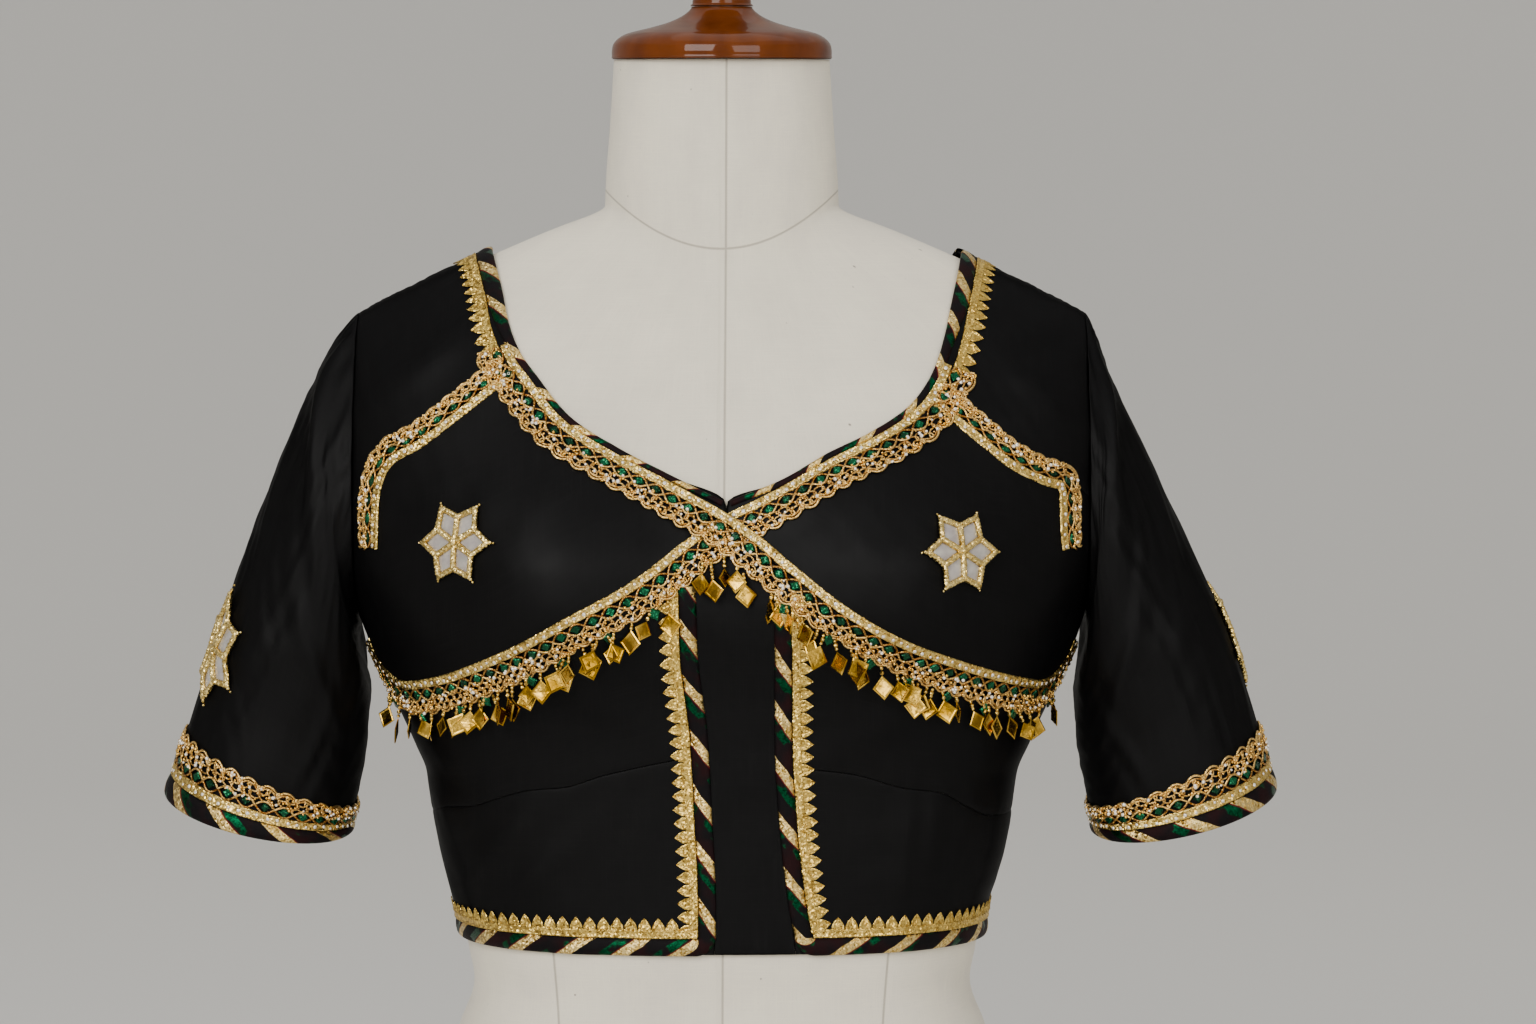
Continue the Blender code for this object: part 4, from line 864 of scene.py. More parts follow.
def striped_binding(name, lean):
    """Stripes by the distance along the strip plus its lean across: gold, a thin red line, emerald
    over part of the width, and black ground. The gold is broken into small glittering cells."""
    look, shader = material(name, 0.5, Specular_IOR_Level=0.06)
    tree = look.node_tree
    place = node(tree, "ShaderNodeUVMap", uv_map="cloth").outputs[0]
    height, _ = woven(look, place, 0.4, 0.6)
    part = node(tree, "ShaderNodeSeparateXYZ", Vector=place)
    wobble = node(tree, "ShaderNodeTexNoise", Vector=place, Scale=0.06, Detail=2.0)
    shift = sums(tree, "MULTIPLY_ADD", wobble.outputs[0], 5.0, part.outputs[0])
    slant = sums(tree, "MULTIPLY_ADD", part.outputs[1], lean, shift)
    turn = sums(tree, "MULTIPLY", sums(tree, "FRACT", sums(tree, "DIVIDE", slant, STRIPE_PITCH)), STRIPE_PITCH)

    def stripe(start, end):
        rising = ramp(tree, turn, start - 0.3, start + 0.1)
        return sums(tree, "MULTIPLY", rising, ramp(tree, turn, end - 0.1, end + 0.3, 1.0, 0.0))

    gold, red, green = stripe(1.0, 9.2), stripe(9.5, 10.2), stripe(10.6, 17.5)
    patch = node(tree, "ShaderNodeTexNoise", Vector=place, Scale=0.11, Detail=1.0)
    green = sums(tree, "MULTIPLY", green, ramp(tree, patch.outputs[0], 0.47, 0.53))
    cells = node(tree, "ShaderNodeTexVoronoi", Vector=place, Scale=1.15)
    shine = node(tree, "ShaderNodeSeparateColor", Color=cells.outputs["Color"])
    dyed = ramp(tree, wobble.outputs[0], 0.45, 0.6)
    ground = shades(tree, dyed, (0.0045, 0.0036, 0.0042), (0.012, 0.0032, 0.0038))
    glitter = shades(tree, shine.outputs[0], (0.32, 0.18, 0.020), (0.94, 0.72, 0.30))
    emerald = shades(tree, shine.outputs[1], (0.001, 0.018, 0.007), (0.002, 0.070, 0.026))
    colour = shades(tree, red, ground, (0.10, 0.008, 0.010))
    colour = shades(tree, green, colour, emerald)
    tree.links.new(shades(tree, gold, colour, glitter), shader.inputs["Base Color"])
    foil = sums(tree, "MAXIMUM", gold, green)
    tree.links.new(foil, shader.inputs["Metallic"])
    tree.links.new(ramp(tree, foil, 0.0, 1.0, 0.55, 0.30), shader.inputs["Roughness"])
    weave = node(tree, "ShaderNodeBump", Strength=0.5, Distance=0.09 * MM, Height=height)
    flaked(tree, shader, cells, sums(tree, "MULTIPLY", gold, 0.8), weave.outputs[0])
    return look


def bind(name, bed, length, width, look, node_names):
    """A binding: it starts under the cloth's edge, turns up round it and crowns over the filler."""
    along = np.linspace(0, length, round(length / 1.6))
    # Columns: share of the width, height
    profile = [
        (-0.06, -1.3), (-0.09, -0.2), (-0.04, 0.75), (0.12, 1.3), (0.4, BINDING_HIGH), (0.7, 1.25), (0.92, 0.8),
        (1.0, 0.2),
    ]
    share = np.array([row[0] for row in profile])
    out = np.array([row[1] for row in profile])
    across = np.interp(along, np.linspace(0, length, len(width)), width)[:, None] * share
    across = np.where(share < 0, share * BINDING, across)
    points, faces, place = band(bed, along, across, out)
    made = hold(name, points, faces, look, "striped_binding", place)
    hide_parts(*node_names)
    return made


stripes = {
    way: striped_binding(f"striped_binding_{word}", -way * STRIPE_LEAN)
    for way, word in ((-1, "left"), (1, "right"))
}
# Widths of the neck binding: full above the corner of the neck, and mostly under the lace below it
NECK_BINDING_WIDTH = [BINDING, BINDING, BINDING, 5.0, 3.6, 3.2, 3.0, 3.0, 2.8, 2.6]
neck_trims, placket_trims = {}, {}
for way, word, neck, vee in ((-1, "left", NECK_LEFT, V_LEFT), (1, "right", NECK_RIGHT, V_RIGHT)):
    neck_trims[word] = front_path(neck + vee[1:-1] + [(CENTRE + way * 1.5, 489)])
    bed, length = body_bed(neck_trims[word], way)
    bind(f"neck_stripe_{word}", bed, length, NECK_BINDING_WIDTH, stripes[way], [f"neck_binding_{word}"])
    line = PLACKET_LEFT if way < 0 else PLACKET_RIGHT
    x = line[-1][0]
    turn = np.radians(np.linspace(0, 90, 14))
    corner = np.stack([x + way * CORNER * (1 - np.cos(turn)), HEM + CORNER * (1 - np.sin(turn))], -1)
    down = front_path([(line[0][0], line[0][1] - 14)] + line[1:-1] + [tuple(corner[0])])
    path = np.vstack([down, on_figure(*corner[1:].T, FRONT), hem_path(way, corner[-1][0])[1:]])
    placket_trims[word] = path
    bed, length = body_bed(path, way)
    bind(f"placket_stripe_{word}", bed, length, [BINDING] * 2, stripes[way], [f"placket_binding_{word}"])
    bed, length = sleeve_bed(way, 0.0)
    bind(f"sleeve_stripe_{word}", bed, length, [BINDING] * 2, stripes[way], [f"sleeve_binding_{word}"])
back_scoop = [(-x, z) for x, z in BACK_NECK[:0:-1]] + [(0, BACK_NECK[0][1])] + BACK_NECK[1:]
back_neck_path = front_path(back_scoop, BACK)
bed, length = body_bed(back_neck_path, 1)
bind("neck_stripe_back", bed, length, [BINDING] * 2, stripes[1], ["neck_binding_back"])
half = hem_path(1, 0.0, BACK)
back_hem_path = np.vstack([half[:0:-1] * (-1, 1, 1), half])
bed, length = body_bed(back_hem_path, -1)
bind("hem_stripe_back", bed, length, [BINDING] * 2, stripes[1], ["hem_binding_back"])

# The toothed braid
# Gold metal-thread braid beside each binding, with two twisted cords along its edges, a plait between
# them and a row of pointed leaf-shaped loops. It is sewn down through the plait.
BRAID, TOOTH, TOOTH_PITCH, SEWN_GAP = 4.6, 6.0, 7.0, 0.3
TOOTH_HALF = 3.1


def gold_glitter(name, dark, light, size, rough):
    """Gold thread as small cells, each with its own colour, gloss and lean."""
    look, shader = material(name, rough, 1.0)
    tree = look.node_tree
    place = node(tree, "ShaderNodeTexCoord").outputs["Object"]
    cells = node(tree, "ShaderNodeTexVoronoi", Vector=place, Scale=1000 / size)
    shine = node(tree, "ShaderNodeSeparateColor", Color=cells.outputs["Color"])
    slow = node(tree, "ShaderNodeTexNoise", Vector=place, Scale=160.0, Detail=3.0)
    mixed = sums(tree, "MULTIPLY_ADD", shine.outputs[0], 0.75, sums(tree, "MULTIPLY", slow.outputs[0], 0.35))
    tree.links.new(shades(tree, mixed, dark, light), shader.inputs["Base Color"])
    tree.links.new(ramp(tree, shine.outputs[1], 0, 1, rough - 0.12, rough + 0.14), shader.inputs["Roughness"])
    flaked(tree, shader, cells, 0.9)
    return look


def braid_relief(along, across, wide):
    """Height of a braid: a rounded cord at each edge, twisted by slanting ridges, and a plait of
    crossing waves between them."""
    share = across / wide
    cords = np.exp(-(((share - 0.12) / 0.10) ** 2)) + np.exp(-(((share - 0.88) / 0.10) ** 2))
    twist = 0.75 + 0.25 * np.sin(2 * math.pi * (along / 1.5 + share * 2.0))
    plait = 0.55 + 0.30 * np.sin(2 * math.pi * along / 2.6) * np.cos(2 * math.pi * share * 1.5)
    edge = np.clip(np.minimum(share, 1 - share) / 0.05, 0, 1)
    return (0.35 + 0.85 * cords * twist + 0.6 * plait * (1 - np.clip(cords, 0, 1))) * edge + 0.05


def braid_band(bed, length, start, wide, step=0.55):
    """The braid itself: a flat band that carries its relief, a little above the cloth."""
    along = np.arange(0, length, step)
    across = np.linspace(0, wide, 11)
    out = braid_relief(along[:, None], across[None], wide)
    return band(bed, along, start + across, out + 0.25)


def leaf_teeth(bed, spots, start):
    """The loops of a braid: leaves that widen and come to a point, with a groove down the middle and
    a thick rim, on a grid of shares across (-1 to 1) and out (0 to 1)."""
    across, away = np.meshgrid(np.linspace(-1, 1, 9), np.linspace(0, 1, 8))
    half = TOOTH_HALF * (1 - away) ** 0.72 * (1 + 0.35 * np.sin(math.pi * away)) + 0.08
    rim = np.exp(-(((np.abs(across) - 0.78) / 0.24) ** 2))
    out = 0.25 + 0.95 * rim * (1 - 0.3 * away) + 0.55 * np.exp(-((across / 0.3) ** 2)) * (1 - away)
    along = spots[:, None, None] + across * half
    points, facing = bed(along, start - 0.4 + away * (TOOTH + 0.4), out + 0 * along)
    rows, columns = across.shape
    faces = quads(rows, columns)
    middle = points[0]
    normal = np.cross(middle[3, 5] - middle[3, 4], middle[4, 4] - middle[3, 4])
    if np.dot(normal, facing[0, 3, 4]) < 0:
        faces = faces[:, ::-1]
    count = rows * columns
    faces = (faces[None] + count * np.arange(len(spots))[:, None, None]).reshape(-1, 4)
    return points.reshape(-1, 3), faces, np.stack([along, start + away * TOOTH + 0 * along], -1).reshape(-1, 2)


def heaped(parts):
    """Several lots of points, faces and map places as one. A lot's faces are an array or lists."""
    points, faces, places, count = [], [], [], 0
    for lot in parts:
        points.append(lot[0])
        places.append(lot[2])
        rows = lot[1].tolist() if isinstance(lot[1], np.ndarray) else lot[1]
        faces += [[v + count for v in face] for face in rows]
        count += len(lot[0])
    return np.vstack(points), faces, np.vstack(places)


def toothed_braid(name, bed, length, node_names, bare=0.0):
    """One braid beside a binding: its band and its teeth at an even pitch, as one piece."""
    start = BINDING + SEWN_GAP
    count = max(1, round((length - bare) / TOOTH_PITCH))
    spots = bare + (np.arange(count) + 0.5) * (length - bare) / count
    lots = [braid_band(bed, length, start, BRAID), leaf_teeth(bed, spots, start + BRAID)]
    points, faces, places = heaped(lots)
    made = hold(name, points, faces, gold, "gold_braid", places)
    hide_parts(*node_names)
    return made


gold = gold_glitter("gold_braid", (0.22, 0.105, 0.004), (0.96, 0.69, 0.185), 0.95, 0.29)
for way, word, neck in ((-1, "left", NECK_LEFT), (1, "right", NECK_RIGHT)):
    bed, length = body_bed(front_path(neck), way)
    toothed_braid(f"neck_braid_{word}", bed, length - 4, [f"neck_picot_{word}"])
    line = PLACKET_LEFT if way < 0 else PLACKET_RIGHT
    x = line[-1][0]
    low = HEM + BINDING + 1.0
    bed, length = body_bed(front_path([(line[0][0], line[0][1] - 14)] + line[1:-1] + [(x, low)]), way)
    toothed_braid(f"placket_braid_{word}", bed, length, [f"placket_picot_{word}"])
    bed, length = body_bed(hem_path(way, x + way * (BINDING + 1)), way)
    toothed_braid(f"hem_braid_{word}", bed, length, [f"hem_picot_{word}"], bare=9.0)
bed, length = body_bed(back_neck_path, 1)
toothed_braid("neck_braid_back", bed, length, ["neck_picot_back"])
bed, length = body_bed(back_hem_path, -1)
toothed_braid("hem_braid_back", bed, length, ["hem_picot_back"])

# The beaded laces
# Each lace is built on a gold braid with pale sequins. Two copper cords cross beside it and hold a
# row of emerald foil stones over the bare silk, and then come rows of looped cord full of glass and
# metal beads, ending in scallops.
LACE, CELL = 19.0, 9.7
LACE_BRAID = 4.9


def ball():
    """A bead of six sides and four rings, with its poles along its third direction."""
    rings = np.radians([-45, 0, 45])
    turn = np.linspace(0, 2 * math.pi, 6, endpoint=False)
    wide, high = np.cos(rings)[:, None], np.sin(rings)[:, None]
    grid = np.stack([wide * np.cos(turn), wide * np.sin(turn), high + 0 * turn], -1)
    points = np.vstack([grid.reshape(-1, 3), [(0, 0, -1), (0, 0, 1)]])
    faces = quads(3, 6, ring=True).tolist()
    faces += [[(k + 1) % 6, k, 18] for k in range(6)] + [[12 + k, 12 + (k + 1) % 6, 19] for k in range(6)]
    return points, faces


def stone():
    """A flat foil stone: a rhombus with a raised, slightly smaller table."""
    rim = np.array([(1, 0), (0, 1), (-1, 0), (0, -1)], float)
    levels = ((1, 0), (1, 0.35), (0.72, 0.7))
    points = np.vstack([np.column_stack([rim * share, np.full(4, z)]) for share, z in levels])
    faces = [[3, 2, 1, 0], [8, 9, 10, 11]]
    faces += [[a + k, a + (k + 1) % 4, a + 4 + (k + 1) % 4, a + 4 + k] for a in (0, 4) for k in range(4)]
    return points, faces


def sequin():
    """A small cupped disc of eight sides."""
    turn = np.linspace(0, 2 * math.pi, 8, endpoint=False)
    ring = np.stack([np.cos(turn), np.sin(turn)], -1)
    low, high = np.column_stack([ring, np.zeros(8)]), np.column_stack([ring * 0.9, np.full(8, 0.4)])
    points = np.vstack([low, high, [(0, 0, 0.22)]])
    faces = [[k, (k + 1) % 8, 8 + (k + 1) % 8, 8 + k] for k in range(8)]
    faces += [[8 + k, 8 + (k + 1) % 8, 16] for k in range(8)] + [list(range(8))[::-1]]
    return points, faces


def planted(shape, bed, along, across, out, sizes, tints, spin=0.0):
    """The shape set at each place of a trim, with its third direction out of the cloth. Its map holds
    its tint, a number that the material turns into a colour."""
    shape_points, shape_faces = shape
    spots, up = bed(along, across, out)
    ahead = bed(along + 0.3, across, out)[0] - spots
    ahead = unit(ahead - up * np.sum(ahead * up, axis=-1, keepdims=True))
    beside = np.cross(up, ahead)
    cos, sin = np.cos(spin + 0 * along)[:, None], np.sin(spin + 0 * along)[:, None]
    frame_rows = np.stack([ahead * cos + beside * sin, beside * cos - ahead * sin, up], 1)
    sizes = np.broadcast_to(np.asarray(sizes, float).T, (3, len(spots))).T if np.ndim(sizes) < 2 else sizes
    points = spots[:, None] + np.einsum("kvi,kij->kvj", shape_points[None] * sizes[:, None], frame_rows)
    count = len(shape_points)
    faces = [[v + count * k for v in face] for k in range(len(spots)) for face in shape_faces]
    places = np.repeat(np.stack([tints, along], -1), count, axis=0)
    return points.reshape(-1, 3), faces, places


def corded(bed, along, across, out, radius, tint, sides=5):
    """A round cord whose middle runs through these places of a trim: rings at right angles to it."""
    middle, up = bed(along, across, out)
    ahead = unit(np.gradient(middle, axis=0))
    beside = unit(np.cross(up, ahead))
    above = np.cross(ahead, beside)
    turn = np.linspace(0, 2 * math.pi, sides, endpoint=False)[None, :, None]
    radius = np.broadcast_to(np.asarray(radius, float), (len(middle),))[:, None, None]
    points = middle[:, None] + radius * (beside[:, None] * np.cos(turn) + above[:, None] * np.sin(turn))
    faces = quads(len(middle), sides, ring=True)[:, ::-1]
    faces = faces.tolist() + [list(range(sides)), [len(middle) * sides - 1 - k for k in range(sides)]]
    places = np.repeat(np.stack([np.full(len(middle), tint), along], -1), sides, axis=0)
    return points.reshape(-1, 3), faces, places


def metal_and_glass(name, low, high, rough, metallic, fleck=0.0):
    """A finish whose colour runs between two by the tint in the map, with small cell-like flecks."""
    look, shader = material(name, rough, metallic)
    tree = look.node_tree
    given = node(tree, "ShaderNodeUVMap", uv_map="cloth")
    tint = node(tree, "ShaderNodeSeparateXYZ", Vector=given.outputs[0])
    place = node(tree, "ShaderNodeTexCoord").outputs["Object"]
    cells = node(tree, "ShaderNodeTexVoronoi", Vector=place, Scale=2200.0)
    shine = node(tree, "ShaderNodeSeparateColor", Color=cells.outputs["Color"])
    share = sums(tree, "MULTIPLY_ADD", sums(tree, "SUBTRACT", shine.outputs[0], 0.5), fleck, tint.outputs[0])
    share = sums(tree, "MINIMUM", sums(tree, "MAXIMUM", share, 0.0), 1.0)
    tree.links.new(shades(tree, share, low, high), shader.inputs["Base Color"])
    flaked(tree, shader, cells, 0.6)
    return look, shader, tint.outputs[0]


copper, _, _ = metal_and_glass("copper_cord", (0.19, 0.060, 0.006), (0.96, 0.66, 0.23), 0.28, 1.0, 1.0)
beads, bead_shader, bead_tint = metal_and_glass(
    "lace_beads", (0.78, 0.46, 0.080), (1.0, 0.96, 0.88), 0.14, 0.9, 0.1)
bead_tree = beads.node_tree
bead_tree.links.new(ramp(bead_tree, bead_tint, 0.5, 0.7, 1.0, 0.45), bead_shader.inputs["Metallic"])
emerald, _, _ = metal_and_glass("emerald_foil", (0.001, 0.018, 0.007), (0.004, 0.115, 0.045), 0.13, 0.8, 0.8)
lace_gold = gold_glitter("lace_braid", (0.28, 0.145, 0.010), (0.97, 0.73, 0.24), 0.95, 0.27)
draw = np.random.default_rng(11)


def beaded_lace(name, bed, length, node_names, wide=LACE):
    """One lace as four pieces: its braid, its cords, its stones, and its beads and sequins.

    The crossing cords are two sines in opposite phase. The looped cords are circles that roll along
    the lace, and the scallops are the upper halves of a sine."""
    cells = max(2, round(length / CELL))
    cell = length / cells
    middles = (np.arange(cells) + 0.5) * cell
    zone = (wide - LACE_BRAID) / (LACE - LACE_BRAID)
    stone_row = LACE_BRAID + 3.0 * zone
    fine = np.linspace(0, length, cells * 14 + 1)
    turn = 2 * math.pi * fine / cell
    cords = []
    for sign in (-1, 1):
        swing = stone_row + sign * 2.9 * zone * np.abs(np.sin(turn / 2))
        cords.append(corded(bed, fine, swing, 1.3 + 0.35 * sign, 0.62, 0.35 + 0.2 * sign))
    for row, radius, phase, tint in ((0.52, 1.7, 0.0, 0.45), (0.74, 1.9, 1.4, 0.7)):
        loops = 2 * turn + phase
        across = LACE_BRAID + (wide - LACE_BRAID) * row + radius * np.sin(loops)
        along, out = fine + radius * np.cos(loops), 1.25 + 0.35 * np.sin(loops)
        cords.append(corded(bed, along, across, out, 0.52, tint))
    scallop = wide - 3.6 * zone + 3.2 * zone * np.abs(np.sin(turn / 2)) ** 0.8
    cords.append(corded(bed, fine, scallop, 1.0, 0.72, 0.65))
    cords.append(corded(bed, fine, scallop - 1.5 * zone, 1.2, 0.55, 0.4))
    points, faces, places = heaped(cords)
    made = [hold(f"{name}_cords", points, faces, copper, "beaded_lace", places)]
    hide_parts(*node_names)
    points, faces, places = braid_band(bed, length, 0.0, LACE_BRAID)
    made.append(hold(f"{name}_braid", points, faces, lace_gold, "gold_braid", places))
    along = middles + draw.uniform(-0.4, 0.4, cells)
    across = stone_row + draw.uniform(-0.3, 0.3, cells)
    sizes = np.column_stack([draw.uniform(2.7, 3.1, cells), np.full(cells, 2.9 * zone), np.full(cells, 1.7)])
    tints, spin = draw.uniform(0, 1, cells), draw.uniform(-0.3, 0.3, cells)
    lot = planted(stone(), bed, along, across, np.full(cells, 0.5), sizes, tints, spin)
    made.append(hold(f"{name}_stones", *lot[:2], emerald, "beaded_lace", lot[2], smooth_faces=False))
    count = round(cells * 15 * zone**0.5)
    along = draw.uniform(0, length, count)
    across = wide - 1.2 - (wide - LACE_BRAID - 5.2 * zone) * draw.uniform(0, 1, count) ** 0.9
    big = draw.uniform(0.62, 1.0, count)
    white = draw.uniform(0, 1, count) < 0.24
    tints = np.where(white, draw.uniform(0.85, 1.0, count), draw.uniform(0, 0.12, count))
    big = np.where(white, big * 1.12, big)
    lots = [planted(ball(), bed, along, across, 1.2 + 0.6 * big, np.column_stack([big] * 3), tints)]
    pairs = np.repeat(middles, 2) + np.tile([-cell / 4, cell / 4], cells)
    count = len(pairs)
    along = pairs + draw.uniform(-0.6, 0.6, count)
    across = LACE_BRAID * 0.5 + draw.uniform(-0.8, 0.8, count)
    sizes = np.column_stack([draw.uniform(0.7, 1.05, count)] * 2 + [np.ones(count)])
    tints = draw.uniform(0.8, 1.0, count)
    lots.append(planted(sequin(), bed, along, across, np.full(count, 1.35), sizes, tints))
    points, faces, places = heaped(lots)
    made.append(hold(f"{name}_beads", points, faces, beads, "beaded_lace", places))
    return made


def crossing_path(way):
    """The upper edge of a crossing lace: down the neckline, over the middle, under the other cup."""
    vee = V_LEFT if way < 0 else V_RIGHT
    far = [(x, z + 7.0) for x, z in under_bust(-way)[2:-2]]
    end = [(-way * 178, 403.5), (-way * 182.6, 413)]
    neck = NECK_LEFT if way < 0 else NECK_RIGHT
    corner = tuple(0.62 * np.array(neck[-1]) + 0.38 * np.array(neck[-2]))
    return front_path([corner] + vee[:-1] + [(CENTRE, 485)] + far + end)


LACE_OVER_CUP = {
    -1: [(-109, 556), (-138, 533), (-155, 520), (-169, 512), (-176, 502), (-179, 490), (-180, 476), (-180, 463)],
    1: [(110, 543), (136, 521), (150, 510), (166, 502), (175, 499), (178, 490), (178, 478), (179, 463)],
}
CUP_LACE = 15.0
for way, word, order in ((-1, "left", "over"), (1, "right", "under")):
    path = crossing_path(way)
    past = (path[:, 0] - CENTRE) * -way
    inner = np.interp(past, [-12, 22], [2.8, 0.0])
    raised = 2.6 * np.exp(-(((past - 6) / 25) ** 4)) if way < 0 else 0 * past
    bed, length = body_bed(path, way, inner, raised)
    beaded_lace(f"crossing_{order}", bed, length, [f"crossing_lace_{order}"])
    path = front_path(LACE_OVER_CUP[way])
    bed, length = body_bed(path, way, np.full(len(path), -CUP_LACE / 2))
    beaded_lace(f"cup_lace_of_{word}", bed, length, [f"cup_lace_{word}"], CUP_LACE)
    bed, length = sleeve_bed(way, BINDING + SEWN_GAP)
    beaded_lace(f"sleeve_lace_of_{word}", bed, length, [f"sleeve_lace_{word}"])

# The shell stars
# Six-pointed appliques: six thin lilac-grey shell rhombi, each set in a frame of gold cord and sewn to
# the silk, with gold beads at the middle and at the tips.
STAR_REACH, STAR_NOTCH = 20.0, 13.0
STAR_CORD = 1.6
CUP_STARS = {"cup_left": (-133, 468, 32), "cup_right": (121, 464, 28)}
# Place down the sleeve, angle round it from the top to the front, tilt
SLEEVE_STARS = {"sleeve_left": (-1, 0.71, 24, 8), "sleeve_right": (1, 0.71, -14, -8)}


def cup_star_bed(x, z, tilt):
    """A bed whose first two places run right and up from the star's middle on the cup."""
    middle = on_figure(x, z, FRONT)
    up = outward(middle)
    east = unit(np.cross([0, 0, 1.0], up))
    cos, sin = math.cos(math.radians(tilt)), math.sin(math.radians(tilt))
    axes = np.array([cos * east + sin * np.cross(up, east), -sin * east + cos * np.cross(up, east)])

    def bed(right, high, out):
        right, high, out = np.broadcast_arrays(*(np.asarray(v, float) for v in (right, high, out)))
        p = onto_figure(middle + right[..., None] * axes[0] + high[..., None] * axes[1])
        return laid(p, out), outward(p)

    return bed


def sleeve_star_bed(way, down, turn, tilt):
    """The same on a sleeve, where right runs round it and up runs towards the armhole."""
    cos, sin = math.cos(math.radians(tilt)), math.sin(math.radians(tilt))

    def bed(right, high, out):
        right, high, out = np.broadcast_arrays(*(np.asarray(v, float) for v in (right, high, out)))
        round_, rise = cos * right - sin * high, sin * right + cos * high
        angle = math.radians(turn) + way * -round_ / SLEEVE_GIRTH * 2 * math.pi
        low = down - rise / SLEEVE_LENGTH
        return sleeve_laid(way, low, angle, out), sleeve_out(way, low, angle)

    return bed


def star_shell():
    """Mother of pearl: grey, with lilac and greenish clouds from two slow noises."""
    look, shader = material("star_shell", 0.24, 0.15, Coat_Weight=0.5, Coat_Roughness=0.1)
    tree = look.node_tree
    place = node(tree, "ShaderNodeTexCoord").outputs["Object"]
    cloud = node(tree, "ShaderNodeTexNoise", Vector=place, Scale=150.0, Detail=3.0, Roughness=0.5)
    tinge = node(tree, "ShaderNodeTexNoise", Vector=place, Scale=260.0, Detail=1.0)
    base = shades(tree, ramp(tree, cloud.outputs[0], 0.35, 0.65), (0.32, 0.285, 0.28), (0.45, 0.42, 0.385))
    base = shades(tree, ramp(tree, tinge.outputs[0], 0.5, 0.7, 0.0, 0.5), base, (0.33, 0.34, 0.30))
    tree.links.new(base, shader.inputs["Base Color"])
    raise_by(tree, shader, cloud.outputs[0], 0.15, 0.3)
    return look


def arm(length, turn, way):
    """The end of a line from the star's middle: at the turn, or 30 degrees to either side of it."""
    angle = turn + way * math.pi / 6
    return length * math.cos(angle), length * math.sin(angle)


def shell_rhombus(bed, turn):
    """One rhombus from the star's middle to a tip, a grid of shares that is domed by a product of
    parabolas and drawn in a little from its frame."""
    u, v = np.meshgrid(np.linspace(0.03, 0.97, 8), np.linspace(0.03, 0.97, 8))
    left, right = (arm(STAR_NOTCH, turn, way) for way in (1, -1))
    x = u * right[0] + v * left[0]
    y = u * right[1] + v * left[1]
    stretch = STAR_REACH / (2 * STAR_NOTCH * math.cos(math.pi / 6))
    ahead = x * math.cos(turn) + y * math.sin(turn)
    widest = STAR_NOTCH * math.cos(math.pi / 6)
    more = np.where(ahead > widest, (ahead - widest) * (2 * stretch - 2), 0)
    x, y = x + more * math.cos(turn), y + more * math.sin(turn)
    dome = 1.1 + 9.0 * u * (1 - u) * v * (1 - v)
    points, _ = bed(x, y, dome)
    return points.reshape(-1, 3), quads(8, 8), np.stack([x, y], -1).reshape(-1, 2)


def cord_outline(bed, turn):
    """The cord round a rhombus: out along one side to the tip and back along the other."""
    corners = [(0.0, 0.0)]
    for length, way in ((STAR_NOTCH, -1), (STAR_REACH, 0), (STAR_NOTCH, 1)):
        corners.append(arm(length, turn, way))
    corners = np.array(corners + corners[:1])
    shares = np.linspace(0, 4, 61)
    x, y = (np.interp(shares, np.arange(5), corners[:, k]) for k in (0, 1))
    twist = STAR_CORD * (1 + 0.16 * np.sin(shares * 4.0 * math.pi * 3))
    return corded(bed, x, y, 1.0 + STAR_CORD * 0.6, twist, 0.5, 6)


shell = star_shell()
star_gold = gold_glitter("star_cord", (0.44, 0.26, 0.03), (1.0, 0.80, 0.33), 0.95, 0.26)
for word, place in {**CUP_STARS, **SLEEVE_STARS}.items():
    bed = cup_star_bed(*place) if word.startswith("cup") else sleeve_star_bed(*place)
    turns = np.radians(90 + 60 * np.arange(6))
    points, faces, _ = heaped([shell_rhombus(bed, turn) for turn in turns])
    made = hold(f"star_shells_{word}", points, faces, shell, "shell")
    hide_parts(f"star_{word}")
    cords = [cord_outline(bed, turn) for turn in turns]
    reach_out = np.concatenate([[0.0], np.repeat(STAR_REACH + 1.2, 6), np.repeat(STAR_REACH + 3.0, 6)])
    angle = np.concatenate([[0.0], turns, turns])
    size = np.concatenate([[2.3], np.full(6, 1.15), np.full(6, 0.7)])
    rise = np.concatenate([[2.4], np.full(6, 1.6), np.full(6, 1.1)])
    x, y = reach_out * np.cos(angle), reach_out * np.sin(angle)
    cords.append(planted(ball(), bed, x, y, rise, np.column_stack([size] * 3), np.full(13, 0.6)))
    points, faces, places = heaped(cords)
    hold(f"star_cords_{word}", points, faces, star_gold, "gold_braid", places)

# The plate fringe
# Small squares of gilt sheet, folded over a wire and flattened, that hang by a corner from strings
# of gold beads along the lower edge of each crossing lace. Some share one string.
PLATE_PITCH, PLATE_WIDE, PLATE_TALL, PLATE_THICK = 9.6, 11.6, 12.4, 0.7
STRING_LONG, STRING_BEAD = 4.0, 1.15


